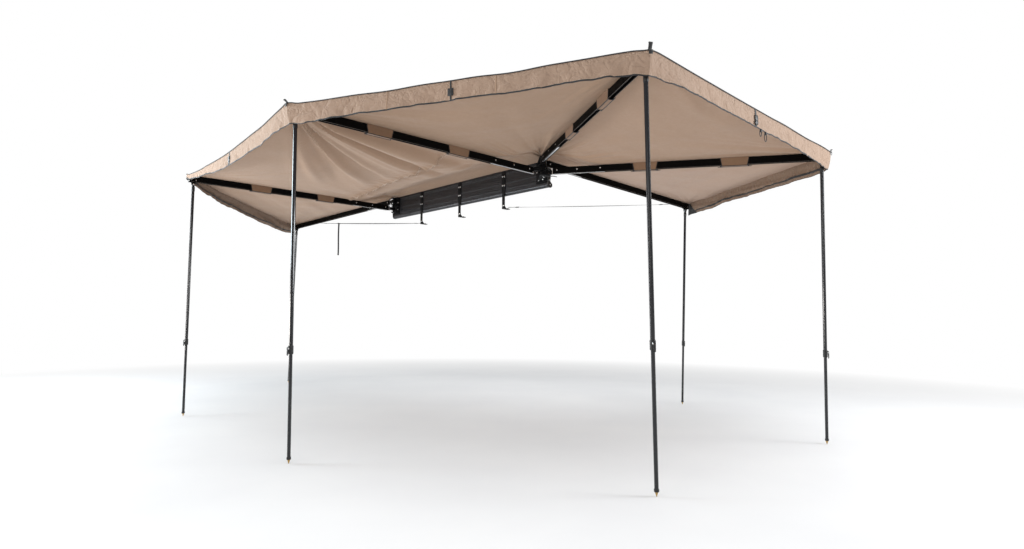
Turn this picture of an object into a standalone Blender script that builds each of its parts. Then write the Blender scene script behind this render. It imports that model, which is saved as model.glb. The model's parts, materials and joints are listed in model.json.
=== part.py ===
"""Vehicle side awning, 270 degree fan type, six arms, shown open.

Metres, +Z up. +Y runs along the backing plate towards the two-arm hinge at its
front end, and -X is outboard, the side that the arms open to.
The origin is the centre of the underside of the middle mount bracket's foot.
"""

import math

import bmesh
import bpy
from mathutils import Matrix, Vector

for old in list(bpy.data.objects):
    bpy.data.objects.remove(old, do_unlink=True)

# ---------------------------------------------------------------- dimensions
HUB = Vector((-0.171, -1.273, 0.205))  # rear pin axis, at the arms' mid height
FRONT = HUB + Vector((0.096, 2.400, 0.0))  # front pin axis
FACE = HUB.x + 0.142  # outer face of the backing plate
GROUND = HUB.z - 2.026  # what the pole feet stand on

PLATE_Y0, PLATE_Y1 = HUB.y + 0.092, HUB.y + 2.474
PLATE_TOP, PLATE_LOW = HUB.z + 0.135, HUB.z - 0.090
ROLL_R = 0.022

BRACKET_Y = (HUB.y + 0.633, HUB.y + 1.273, HUB.y + 1.918)
BRACKET_T = 0.0047
FOOT_REACH = 0.068

ARM_W, ARM_H, ARM_WALL, ARM_SLOT = 0.030, 0.052, 0.002, 0.014
ARM_START, ARM_PAST = 0.080, 0.032  # channel starts here, ends this far past the pole
BAR_W, BAR_END = 0.013, 0.500
EYE_R, PIN_R, EYE_HOLE = 0.022, 0.0060, 0.0063
HUB_PLATE_Z, HUB_PLATE_T = 0.0315, 0.0035
LOW, HIGH = 0.006, 0.092  # the arms are hinged in two layers; mid heights of the layers over the pin's origin
PIVOT_DROP = 0.048  # pole pivot below the arm's centre line
PIVOT_PIN_R, PIVOT_HOLE_R = 0.0040, 0.0043

UPPER_R, UPPER_BORE = 0.0120, 0.0108
LOWER_R, LOWER_BORE = 0.01025, 0.0089
POLE_LEAN = 0.050 / 2.0  # every pole leans the same way across its arm
LOWER_INSIDE = 0.350
FOOT_H = 0.029

CANOPY_T = 0.0020
CANOPY_UP = 0.0300  # middle of the cloth above the arm's centre line
CORNER_PAST = 0.056
VALANCE = 0.120

# pin, tip (pole axis at the arm's mid height, from the rear pin), sideways
# offset of the arm, layer, knuckle level, half thickness of the eye, length of
# the pole's upper tube, lean of the pole along its arm
ARMS = {
    0: (FRONT, (-0.107, 4.433, -0.003), -0.016, HIGH, 0.0, 0.0147, 1.362, 0.000),
    1: (FRONT, (-1.951, 2.360, 0.011), 0.016, LOW, 0.0, 0.0147, 1.374, 0.015),
    2: (HUB, (-2.018, 0.100, 0.058), -0.048, LOW, 0.0155, 0.0147, 1.393, -0.006),
    3: (HUB, (-1.035, -1.735, 0.094), -0.016, HIGH, 0.0155, 0.0147, 1.359, -0.023),
    4: (HUB, (0.963, -1.790, -0.038), 0.016, LOW, -0.0155, 0.0147, 1.329, -0.008),
    5: (HUB, (2.020, -0.037, -0.024), 0.048, HIGH, -0.0155, 0.0147, 1.351, -0.013),
}


# ---------------------------------------------------------------- materials
def material(name, rgb, rough, metal=0.0):
    mat = bpy.data.materials.new(name)
    mat.use_nodes = True
    shader = mat.node_tree.nodes["Principled BSDF"]
    shader.inputs["Base Color"].default_value = (*rgb, 1)
    shader.inputs["Roughness"].default_value = rough
    shader.inputs["Metallic"].default_value = metal
    mat.diffuse_color = (*rgb, 1)
    return mat


CHARCOAL = material("charcoal_anodised", (0.030, 0.031, 0.034), 0.42, 0.6)
BLACK_COAT = material("black_powder_coat", (0.012, 0.012, 0.013), 0.50)
BLACK_PLASTIC = material("black_plastic", (0.015, 0.015, 0.016), 0.45)
ALUMINIUM = material("bare_aluminium", (0.62, 0.62, 0.63), 0.30, 1.0)
STEEL = material("zinc_steel", (0.55, 0.55, 0.54), 0.35, 1.0)
POLE_METAL = material("black_anodised_aluminium", (0.020, 0.021, 0.024), 0.30, 0.6)
BRONZE = material("bronze_foot", (0.42, 0.27, 0.10), 0.38, 1.0)
CANVAS = material("tan_canvas", (0.42, 0.33, 0.26), 0.85)
PVC = material("black_pvc", (0.016, 0.016, 0.017), 0.60)
WEBBING = material("black_webbing", (0.012, 0.012, 0.012), 0.75)


# ---------------------------------------------------------------- mesh tools
def finish(bm, name, mat, parent=None, world=None, smooth=0.0):
    bmesh.ops.recalc_face_normals(bm, faces=bm.faces)
    if bm.calc_volume(signed=True) < 0:
        bmesh.ops.reverse_faces(bm, faces=bm.faces)
    mesh = bpy.data.meshes.new(name)
    bm.to_mesh(mesh)
    bm.free()
    obj = bpy.data.objects.new(name, mesh)
    bpy.context.scene.collection.objects.link(obj)
    mesh.materials.append(mat)
    if smooth:
        mesh.shade_smooth()
        mesh.set_sharp_from_angle(angle=math.radians(smooth))
    if parent is not None:
        obj.parent = parent
    if world is not None:
        obj.matrix_world = world
    return obj


def prism(outline, low, high, axes="xyz"):
    """A closed prism: the outline lies in the first two axes, low and high are along the third."""
    bm = bmesh.new()
    order = {"xyz": (0, 1, 2), "xzy": (0, 2, 1), "yzx": (1, 2, 0)}[axes]

    def place(u, v, w):
        point = [0.0, 0.0, 0.0]
        for axis, value in zip(order, (u, v, w)):
            point[axis] = value
        return point

    bottom = [bm.verts.new(place(u, v, low)) for u, v in outline]
    top = [bm.verts.new(place(u, v, high)) for u, v in outline]
    bm.faces.new(bottom[::-1])
    bm.faces.new(top)
    for i in range(len(outline)):
        j = (i + 1) % len(outline)
        bm.faces.new((bottom[i], bottom[j], top[j], top[i]))
    bmesh.ops.recalc_face_normals(bm, faces=bm.faces)
    return bm


def block(x0, x1, y0, y1, z0, z1):
    return prism([(x0, y0), (x1, y0), (x1, y1), (x0, y1)], z0, z1)


def turned(profile, sides=16):
    """A solid of revolution about Z. The profile is a closed loop of (radius, height); a radius of 0 is on the axis."""
    bm = bmesh.new()
    rings = []
    for radius, height in profile:
        if radius <= 0:
            rings.append([bm.verts.new((0, 0, height))])
        else:
            rings.append(
                [
                    bm.verts.new(
                        (
                            radius * math.cos(2 * math.pi * k / sides),
                            radius * math.sin(2 * math.pi * k / sides),
                            height,
                        )
                    )
                    for k in range(sides)
                ]
            )
    for a, b in zip(rings, rings[1:] + rings[:1]):
        if len(a) == 1 and len(b) == 1:
            continue
        for k in range(sides):
            n = (k + 1) % sides
            corners = [a[k % len(a)], a[n % len(a)], b[n % len(b)], b[k % len(b)]]
            unique = []
            for corner in corners:
                if corner not in unique:
                    unique.append(corner)
            bm.faces.new(unique)
    bmesh.ops.recalc_face_normals(bm, faces=bm.faces)
    return bm


def disc_points(cx, cy, radius, start=0.0, stop=360.0, steps=16, whole=True):
    count = steps if whole else steps + 1
    return [
        (
            cx + radius * math.cos(math.radians(start + (stop - start) * k / steps)),
            cy + radius * math.sin(math.radians(start + (stop - start) * k / steps)),
        )
        for k in range(count)
    ]


def hull2d(points):
    """Convex outline round the points, counter-clockwise."""
    points = sorted(set((round(x, 7), round(y, 7)) for x, y in points))

    def half(seq):
        out = []
        for p in seq:
            while (
                len(out) > 1
                and (out[-1][0] - out[-2][0]) * (p[1] - out[-2][1])
                - (out[-1][1] - out[-2][1]) * (p[0] - out[-2][0])
                <= 1e-12
            ):
                out.pop()
            out.append(p)
        return out[:-1]

    return half(points) + half(points[::-1])


def combine(base, tool_bm, operation, name):
    """Joins a second shape to the object, or cuts it away; the second shape stays as a hidden helper."""
    mesh = bpy.data.meshes.new(name)
    bmesh.ops.recalc_face_normals(tool_bm, faces=tool_bm.faces)
    tool_bm.to_mesh(mesh)
    tool_bm.free()
    tool = bpy.data.objects.new(name, mesh)
    bpy.context.scene.collection.objects.link(tool)
    tool.hide_render = True
    tool.display_type = "WIRE"
    tool.parent = base
    modifier = base.modifiers.new(name, "BOOLEAN")
    modifier.operation = operation
    modifier.solver = "EXACT"
    modifier.object = tool
    return tool


def empty(name, world, parent=None):
    obj = bpy.data.objects.new(name, None)
    bpy.context.scene.collection.objects.link(obj)
    obj.empty_display_size = 0.05
    obj.parent = parent
    if parent is not None:
        obj.matrix_parent_inverse = parent_worlds[parent.name].inverted()
    obj.matrix_basis = world
    parent_worlds[name] = world.copy()
    return obj


parent_worlds = {}


def axes_matrix(origin, x, y, z):
    m = Matrix.Identity(4)
    for column, vector in enumerate((x, y, z)):
        for row in range(3):
            m[row][column] = vector[row]
    m.translation = origin
    return m


# ---------------------------------------------------------------- arm geometry
class Arm:
    def __init__(self, index):
        pin, tip, offset, layer, level, half, upper, lean = ARMS[index]
        self.index, self.pin, self.offset, self.layer = index, pin, offset, layer
        self.base = pin + Vector((0, 0, layer))
        self.level, self.half, self.upper = level, half, upper
        self.tip = HUB + Vector(tip)
        flat = (self.tip - pin).to_2d()
        reach = flat.length
        run = math.sqrt(reach**2 - offset**2)
        heading = math.atan2(flat.y, flat.x) - math.atan2(offset, run)
        level_d = Vector((math.cos(heading), math.sin(heading), 0))
        self.left = Vector((-level_d.y, level_d.x, 0))
        root = self.base + self.left * offset
        self.d = (self.tip - root).normalized()
        self.length = (self.tip - root).length
        self.up = self.d.cross(self.left)
        # angle from straight ahead, turning outboard
        self.turn = math.degrees(math.atan2(-level_d.x, level_d.y)) % 360
        self.matrix = axes_matrix(self.base, self.d, self.left, self.up)
        # pole
        self.pivot = self.tip - self.up * PIVOT_DROP
        height = self.pivot.z - GROUND
        self.foot = (
            Vector((self.pivot.x, self.pivot.y, GROUND))
            + self.left * (POLE_LEAN * height)
            + Vector((level_d.x, level_d.y, 0)) * lean
        )
        self.p = (self.foot - self.pivot).normalized()
        self.pole_length = (self.foot - self.pivot).length
        self.n = self.p.cross(self.d).normalized()  # fold axis
        self.fold = math.degrees(math.acos(max(-1, min(1, self.p.dot(-self.d)))))
        z = -self.p
        self.pole_matrix = axes_matrix(self.pivot, self.n.cross(z), self.n, z)

    def point(self, s, side=0.0, up=0.0):
        return self.matrix @ Vector((s, self.offset + side, up))


arms = {k: Arm(k) for k in ARMS}


# ---------------------------------------------------------------- backbone
def plate_profile():
    """Outline of the backing plate in X and Z: flat face with fine grooves, and a round roll along its lower edge."""
    face, thick = FACE, 0.0150
    z0 = HUB.z
    out = [(face + thick, PLATE_TOP), (face + 0.0015, PLATE_TOP), (face, PLATE_TOP - 0.0015)]
    for groove in (0.118, -0.020, -0.034, -0.047):
        out += [
            (face, z0 + groove + 0.0018),
            (face + 0.0020, z0 + groove + 0.0010),
            (face + 0.0020, z0 + groove - 0.0010),
            (face, z0 + groove - 0.0018),
        ]
    centre = (face + ROLL_R, PLATE_LOW + ROLL_R)
    out += disc_points(*centre, ROLL_R, 180, 400, 11, whole=False)
    out += [(face + thick, z0 - 0.040)]
    return out


plate = finish(
    prism(plate_profile(), PLATE_Y0, PLATE_Y1, "xzy"),
    "backing_plate",
    CHARCOAL,
    smooth=35,
)


def cap_outline(grow):
    x0, x1 = FACE - grow, FACE + 2 * ROLL_R + grow
    return [
        (x0, PLATE_TOP - 0.004),
        (x0 + 0.004, PLATE_TOP + grow),
        (FACE + 0.0165, PLATE_TOP + grow),
        (FACE + 0.0185, PLATE_TOP - 0.004),
        (FACE + 0.0185, HUB.z - 0.035),
        (x1, PLATE_LOW + ROLL_R + 0.006),
        (x1, PLATE_LOW + 0.010),
        (x1 - 0.012, PLATE_LOW - grow),
        (x0 + 0.012, PLATE_LOW - grow),
        (x0, PLATE_LOW + 0.010),
    ]


cap = finish(
    prism(cap_outline(0.0015), HUB.y + 0.0765, PLATE_Y0 - 0.0004, "xzy"),
    "rear_end_cap",
    BLACK_PLASTIC,
)

# travel cover, rolled up behind the plate and resting on the bracket feet's line
BAG_X0 = FACE + 2 * ROLL_R + 0.0012
bag_outline = (
    disc_points(BAG_X0 + 0.022, HUB.z - 0.050, 0.0215, 180, 360, 8, whole=False)
    + disc_points(BAG_X0 + 0.019, HUB.z + 0.085, 0.024, 0, 180, 8, whole=False)
)
bag_outline = [(max(x, FACE + 0.0165 if z > HUB.z - 0.03 else BAG_X0), z) for x, z in bag_outline]
bag = finish(
    prism(bag_outline, PLATE_Y0 + 0.030, PLATE_Y1 - 0.090, "xzy"),
    "stow_bag",
    PVC,
    smooth=40,
)

for label, y in zip(("rear", "middle", "front"), BRACKET_Y):
    x0, x1 = FACE - 0.0003 - BRACKET_T, FACE - 0.0003
    upright = [
        (y - 0.0170, HUB.z - 0.2045),
        (y + 0.0170, HUB.z - 0.2045),
        (y + 0.0170, HUB.z - 0.060),
        (y + 0.0235, HUB.z - 0.045),
        (y + 0.0235, HUB.z + 0.126),
        (y + 0.0205, HUB.z + 0.129),
        (y - 0.0205, HUB.z + 0.129),
        (y - 0.0235, HUB.z + 0.126),
        (y - 0.0235, HUB.z - 0.045),
        (y - 0.0170, HUB.z - 0.060),
    ]
    bracket = finish(prism(upright, x0, x1, "yzx"), f"mount_bracket_{label}", BLACK_COAT)
    foot = block(x0 + 0.0006, x0 + FOOT_REACH, y - 0.0190, y + 0.0190, HUB.z - 0.205, HUB.z - 0.2003)
    combine(bracket, foot, "UNION", f"bracket_foot_{label}")
    gusset = prism(
        [
            (x1 - 0.0012, HUB.z - 0.2012),
            (x1 + 0.034, HUB.z - 0.2012),
            (x1 - 0.0012, HUB.z - 0.160),
        ],
        y - 0.0022,
        y + 0.0022,
        "xzy",
    )
    combine(bracket, gusset, "UNION", f"bracket_rib_{label}")


def pin_bracket(name, pin, y_low, y_high):
    """Two clevises, one for each layer of arms, joined by a web that bolts to the backing plate's face."""
    web_x0, web_x1 = FACE - 0.0053, FACE - 0.0003
    web = block(web_x0, web_x1, y_low, y_high, pin.z - 0.052, pin.z + 0.130)
    obj = finish(web, name, BLACK_COAT)
    for layer in (LOW, HIGH):
        for sign in (-1, 1):
            inner = pin.z + layer + sign * HUB_PLATE_Z
            outer = inner + sign * HUB_PLATE_T
            # the upper clevis's lower plate leaves room for the arm that slopes past it
            near = y_low + (0.018 if layer == HIGH and sign < 0 else 0.002)
            outline = hull2d(
                disc_points(pin.x, pin.y, 0.027, steps=20)
                + [(web_x1 - 0.001, near), (web_x1 - 0.001, y_high - 0.002)]
            )
            plate = prism(outline, min(inner, outer), max(inner, outer))
            combine(obj, plate, "UNION", f"{name}_{'low' if layer == LOW else 'high'}_{'under' if sign < 0 else 'over'}")
    bore = turned([(0, -0.06), (PIN_R + 0.0003, -0.06), (PIN_R + 0.0003, 0.16), (0, 0.16)], 16)
    bmesh.ops.translate(bore, verts=bore.verts, vec=pin)
    combine(obj, bore, "DIFFERENCE", f"{name}_bore")
    return obj


pin_bracket("rear_hub_bracket", HUB, HUB.y + 0.093, HUB.y + 0.215)
front_bracket = pin_bracket("front_hinge_bracket", FRONT, FRONT.y - 0.058, PLATE_Y1 + 0.0052)
end_plate = prism(
    [
        (FACE - 0.0040, PLATE_TOP + 0.0010),
        (FACE + 0.0160, PLATE_TOP + 0.0010),
        (FACE + 0.0165, HUB.z - 0.038),
        (FACE + 0.0420, PLATE_LOW + ROLL_R),
        (FACE + 0.0380, PLATE_LOW + 0.004),
        (FACE + 0.0060, PLATE_LOW + 0.004),
        (FACE - 0.0040, PLATE_LOW + ROLL_R),
    ],
    PLATE_Y1 + 0.0004,
    PLATE_Y1 + 0.0048,
    "xzy",
)
combine(front_bracket, end_plate, "UNION", "front_end_plate")

for name, pin in (("rear_hub_pin", HUB), ("front_hinge_pin", FRONT)):
    # the head stands on the uppermost plate, a collar fills the gap between the
    # clevises, and the lower end is flush under the lowest plate
    low_end = LOW - HUB_PLATE_Z - HUB_PLATE_T
    gap = (LOW + HUB_PLATE_Z + HUB_PLATE_T + 0.0003, HIGH - HUB_PLATE_Z - HUB_PLATE_T - 0.0003)
    head = HIGH + HUB_PLATE_Z + HUB_PLATE_T + 0.0003
    shape = turned(
        [
            (0, low_end),
            (PIN_R, low_end),
            (PIN_R, gap[0]),
            (0.0110, gap[0]),
            (0.0110, gap[1]),
            (PIN_R, gap[1]),
            (PIN_R, head),
            (0.0105, head),
            (0.0105, head + 0.0035),
            (0.0090, head + 0.0045),
            (0, head + 0.0045),
        ],
        16,
    )
    finish(shape, name, STEEL, world=Matrix.Translation(pin), smooth=35)

# ---------------------------------------------------------------- arms and poles
for k, arm in arms.items():
    axis = empty(f"axis_arm_{k}", arm.matrix)
    off, L = arm.offset, arm.length

    w, h, t, slot = ARM_W / 2, ARM_H / 2, ARM_WALL, ARM_SLOT / 2
    c = 0.0015
    section = [
        (slot, -h), (w - c, -h), (w, -h + c), (w, h - c), (w - c, h),
        (-w + c, h), (-w, h - c), (-w, -h + c), (-w + c, -h), (-slot, -h),
        (-slot, -h + t), (-w + t, -h + t), (-w + t, h - t),
        (w - t, h - t), (w - t, -h + t), (slot, -h + t),
    ]
    section = [(off + u, v) for u, v in section]
    finish(
        prism(section, ARM_START, L + ARM_PAST, "yzx"),
        f"arm_{k}_channel",
        BLACK_COAT,
        parent=axis,
    )

    # knuckle: a level eye on the pin and a bar inside the channel's root
    tilt = arm.d.z
    eye = hull2d(
        disc_points(0, 0, EYE_R, steps=24)
        + [
            (0.060, off - BAR_W / 2 + 0.0003),
            (0.060, off + BAR_W / 2 - 0.0003),
            (0.074, off - BAR_W / 2 + 0.0003),
            (0.074, off + BAR_W / 2 - 0.0003),
        ]
    )
    eye_bm = prism(eye, arm.level - arm.half, arm.level + arm.half)
    # the eye stays level although the arm is tilted a little
    level = axes_matrix(arm.base, Vector((arm.d.x, arm.d.y, 0)).normalized(), arm.left, Vector((0, 0, 1)))
    to_arm = arm.matrix.inverted() @ level
    bmesh.ops.transform(eye_bm, matrix=to_arm, verts=eye_bm.verts)
    knuckle = finish(eye_bm, f"arm_{k}_knuckle", ALUMINIUM, parent=axis)
    bar = block(0.0575, BAR_END, off - BAR_W / 2, off + BAR_W / 2, -h - 0.0002, 0.0225)
    combine(knuckle, bar, "UNION", f"arm_{k}_bar")
    hole = turned([(0, -0.05), (EYE_HOLE, -0.05), (EYE_HOLE, 0.05), (0, 0.05)], 16)
    bmesh.ops.transform(hole, matrix=to_arm, verts=hole.verts)
    combine(knuckle, hole, "DIFFERENCE", f"arm_{k}_eye_hole")

    # tip bracket: end plate, web under the channel, two cheeks and the pivot pin
    pivot_in_arm = arm.matrix.inverted() @ arm.pole_matrix
    s_end = L + ARM_PAST
    tip = finish(
        block(s_end + 0.0005, s_end + 0.0060, off - 0.0155, off + 0.0155, -0.0312, 0.0272),
        f"arm_{k}_tip",
        BLACK_COAT,
        parent=axis,
    )
    web = block(L - 0.030, s_end + 0.0030, off - 0.0150, off + 0.0150, -0.0308, -0.0265)
    combine(tip, web, "UNION", f"arm_{k}_tip_web")
    for sign in (-1, 1):
        # outline across the pivot: X of the pole frame points to the hub, Z up
        outline = hull2d(
            disc_points(0, 0, 0.0125, 180, 360, 8, whole=False)
            + [(-0.0150, PIVOT_DROP - 0.0285), (0.0150, PIVOT_DROP - 0.0285)]
        )
        cheek = prism(outline, min(sign * 0.0075, sign * 0.0115), max(sign * 0.0075, sign * 0.0115), "xzy")
        bmesh.ops.transform(cheek, matrix=pivot_in_arm, verts=cheek.verts)
        combine(tip, cheek, "UNION", f"arm_{k}_tip_cheek_{'ab'[sign > 0]}")
    pin_bm = turned([(0, -0.0135), (PIVOT_PIN_R, -0.0135), (PIVOT_PIN_R, 0.0135), (0, 0.0135)], 12)
    bmesh.ops.rotate(pin_bm, verts=pin_bm.verts, matrix=Matrix.Rotation(math.pi / 2, 3, "X"))
    bmesh.ops.transform(pin_bm, matrix=pivot_in_arm, verts=pin_bm.verts)
    combine(tip, pin_bm, "UNION", f"arm_{k}_tip_pin")

    # pole
    fold_axis = empty(f"axis_pole_{k}", arm.pole_matrix, parent=axis)
    U = arm.upper
    tube = turned(
        [
            (0, -0.0180), (UPPER_R - 0.0015, -0.0180), (UPPER_R, -0.0195),
            (UPPER_R, -U), (UPPER_BORE, -U), (UPPER_BORE, -0.0450), (0, -0.0450),
        ],
        16,
    )
    upper = finish(tube, f"pole_{k}_upper", POLE_METAL, parent=fold_axis, smooth=30)
    tongue = prism(
        hull2d(disc_points(0, 0, 0.0112, steps=16) + [(-0.0080, -0.0260), (0.0080, -0.0260)]),
        -0.0070,
        0.0070,
        "xzy",
    )
    combine(upper, tongue, "UNION", f"pole_{k}_tongue")
    cross = turned([(0, -0.02), (PIVOT_HOLE_R, -0.02), (PIVOT_HOLE_R, 0.02), (0, 0.02)], 12)
    bmesh.ops.rotate(cross, verts=cross.verts, matrix=Matrix.Rotation(math.pi / 2, 3, "X"))
    combine(upper, cross, "DIFFERENCE", f"pole_{k}_tongue_hole")

    clamp_body = turned(
        [
            (UPPER_R + 0.0003, -U + 0.032), (0.0140, -U + 0.032), (0.0146, -U + 0.029),
            (0.0146, -U - 0.014), (0.0132, -U - 0.018), (LOWER_R + 0.0006, -U - 0.018),
            (LOWER_R + 0.0006, -U - 0.0006), (UPPER_R + 0.0003, -U - 0.0006),
        ],
        20,
    )
    clamp = finish(clamp_body, f"pole_{k}_clamp", BLACK_PLASTIC, parent=fold_axis, smooth=30)
    lever = prism(
        [
            (-0.0125, -U + 0.022), (-0.0205, -U + 0.026), (-0.0235, -U + 0.018),
            (-0.0215, -U - 0.026), (-0.0185, -U - 0.026), (-0.0170, -U + 0.006), (-0.0125, -U + 0.004),
        ],
        -0.0060,
        0.0060,
        "xzy",
    )
    combine(clamp, lever, "UNION", f"pole_{k}_clamp_lever")

    end = -(arm.pole_length - FOOT_H)
    lower_tube = turned(
        [
            (LOWER_BORE, end), (LOWER_R, end), (LOWER_R, -U + LOWER_INSIDE),
            (LOWER_BORE, -U + LOWER_INSIDE),
        ],
        16,
    )
    finish(lower_tube, f"pole_{k}_lower", POLE_METAL, parent=fold_axis, smooth=30)
    foot_bm = turned(
        [
            (0, end + 0.030), (LOWER_BORE - 0.0004, end + 0.028), (LOWER_BORE - 0.0004, end - 0.0004),
            (0.0110, end - 0.0004), (0.0110, end - 0.0050), (0.0080, end - 0.0070),
            (0.0060, end - 0.0140), (0.0016, end - FOOT_H + 0.0010), (0, end - FOOT_H),
        ],
        12,
    )
    finish(foot_bm, f"pole_{k}_foot", BRONZE, parent=fold_axis, smooth=30)


# ---------------------------------------------------------------- canopy
def shell(grid, name, thickness=CANOPY_T):
    """A closed thin shell round a grid of middle points, rows by columns."""
    rows, cols = len(grid), len(grid[0])
    bm = bmesh.new()
    normals = [[None] * cols for _ in range(rows)]
    for i in range(rows):
        for j in range(cols):
            along = grid[min(i + 1, rows - 1)][j] - grid[max(i - 1, 0)][j]
            across = grid[i][min(j + 1, cols - 1)] - grid[i][max(j - 1, 0)]
            normals[i][j] = along.cross(across).normalized()
    sides = []
    for sign in (1, -1):
        sides.append(
            [
                [bm.verts.new(grid[i][j] + normals[i][j] * (sign * thickness / 2)) for j in range(cols)]
                for i in range(rows)
            ]
        )
    for side in sides:
        for i in range(rows - 1):
            for j in range(cols - 1):
                bm.faces.new((side[i][j], side[i + 1][j], side[i + 1][j + 1], side[i][j + 1]))
    rim = (
        [(i, 0) for i in range(rows)]
        + [(rows - 1, j) for j in range(1, cols)]
        + [(i, cols - 1) for i in range(rows - 2, -1, -1)]
        + [(0, j) for j in range(cols - 2, 0, -1)]
    )
    for (i, j), (m, n) in zip(rim, rim[1:] + rim[:1]):
        bm.faces.new((sides[0][i][j], sides[0][m][n], sides[1][m][n], sides[1][i][j]))
    return finish(bm, name, CANVAS)


def rise(arm, s):
    """Extra height of the cloth over the pin bracket: more over the lower layer of arms."""
    if arm.layer == HIGH:
        return 0.032 * max(0.0, 1.0 - s / 0.16) ** 2
    f = min(1.0, max(0.0, (s - 0.08) / 0.42))
    return 0.112 * (1.0 - f * f * (3.0 - 2.0 * f))


def corner_distance(arm):
    return arm.length + CORNER_PAST


def seam(arm, s):
    return arm.point(s, 0.0, CANOPY_UP + rise(arm, s))


def across(start, end, parts, sag):
    """Points from one seam to the next: flat over the arms' tops, then slack in between."""
    gap = end - start
    width = gap.length
    gap.normalize()
    level = Vector((gap.x, gap.y, 0)).normalized()
    edge = min(0.018, width * 0.3)
    near, far = start + level * edge, end - level * edge
    row = [start + gap * 0.0016]
    for j in range(parts + 1):
        u = j / parts
        point = near.lerp(far, u)
        point.z -= sag * 4 * u * (1 - u)
        row.append(point)
    row.append(end - gap * 0.0016)
    return row


def down_rows(points, a, b, depths, leans):
    """Rows of a valance that hangs from the outer edge and leans in a little."""
    rows = []
    last = len(points) - 1
    out_a = Vector((a.d.x, a.d.y, 0)).normalized()
    out_b = Vector((b.d.x, b.d.y, 0)).normalized()
    for part in (0.5, 1.0):
        row = []
        for j, point in enumerate(points):
            u = j / last
            out = out_a.lerp(out_b, u).normalized()
            depth = depths[0] + (depths[1] - depths[0]) * u
            lean = leans[0] + (leans[1] - leans[0]) * u
            row.append(point + Vector((0, 0, -depth * part)) - out * (lean * part))
        rows.append(row)
    return rows


def fan_panel(name, a, b, sag=0.012, parts=6, rows=8, depths=(VALANCE, VALANCE), leans=(0.008, 0.008)):
    """Cloth between two arms, with a valance along its outer edge; the sag is a share of the width."""
    grid = []
    for i in range(rows):
        f = i / (rows - 1)
        start = seam(a, 0.030 + (corner_distance(a) - 0.030) * f)
        end = seam(b, 0.030 + (corner_distance(b) - 0.030) * f)
        grid.append(across(start, end, parts, sag * (end - start).length * math.sin(math.pi * min(0.9, f * 0.8 + 0.1))))
    grid += down_rows(grid[-1], a, b, depths, leans)
    return shell(grid, name)


fan_panel("canopy_panel_front", arms[1], arms[0], sag=0.022, depths=(0.06, VALANCE), leans=(-0.002, -0.004))
fan_panel("canopy_panel_rear_outer", arms[2], arms[3])
fan_panel("canopy_panel_rear", arms[3], arms[4])
fan_panel("canopy_panel_rear_inner", arms[4], arms[5])


def main_panel(name, parts=8, rows=8):
    """Cloth between arms 1 and 2, from the top of the backing plate out to the outer edge."""
    inner_x = FACE + 0.006
    start = Vector((inner_x, PLATE_Y0 + 0.004, PLATE_TOP + 0.0030))
    end = Vector((inner_x, FRONT.y - 0.028, PLATE_TOP + 0.0030))
    grid = [across(start, end, parts, 0.0)]
    for i in range(rows):
        f = i / (rows - 1)
        ends = [seam(arm, 0.10 + (corner_distance(arm) - 0.10) * f) for arm in (arms[2], arms[1])]
        # the cloth leaves the plate's top edge in a long slope
        grid.append(across(*ends, parts, 0.060 * f - 0.030 * max(0.0, 1 - f * 1.6) ** 2))
    grid += down_rows(grid[-1], arms[2], arms[1], (VALANCE, 0.045), (0.008, -0.002))
    return shell(grid, name)


main_panel("canopy_panel_main")


# ---------------------------------------------------------------- straps
def strap(name, start, end, radius=0.0045):
    curve = bpy.data.curves.new(name, "CURVE")
    curve.dimensions = "3D"
    curve.bevel_depth = radius
    curve.bevel_resolution = 1
    curve.use_fill_caps = True
    spline = curve.splines.new("POLY")
    count = 9
    spline.points.add(count - 1)
    for k in range(count):
        f = k / (count - 1)
        point = start.lerp(end, f)
        point.z -= 0.004 * 4 * f * (1 - f)
        spline.points[k].co = (*point, 1)
    obj = bpy.data.objects.new(name, curve)
    bpy.context.scene.collection.objects.link(obj)
    curve.materials.append(WEBBING)
    return obj


FRONT_TIE = (Vector((FACE + 0.028, BRACKET_Y[2] + 0.030, HUB.z - 0.192)), arms[0].point(1.46, 0.0, -0.036))
strap("front_strap", *FRONT_TIE)
# its loose tail hangs from the slide buckle
hang = FRONT_TIE[0].lerp(FRONT_TIE[1], 0.80) - Vector((0, 0, 0.0082))
strap("front_strap_tail", hang, hang - Vector((0, 0, 0.380)))
strap(
    "rear_strap",
    Vector((FACE + 0.028, BRACKET_Y[0] - 0.030, HUB.z - 0.192)),
    arms[5].point(1.74, 0.0, -0.036),
)
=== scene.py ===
"""Side awning, 270 degree fan type with six arms, shown open.

Materials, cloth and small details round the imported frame. Metres, +Z up, +Y along
the backing plate towards the two-arm hinge, -X outboard.
"""

import json
import math

import bmesh
import bpy
import numpy as np
from mathutils import Matrix, Vector

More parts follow.
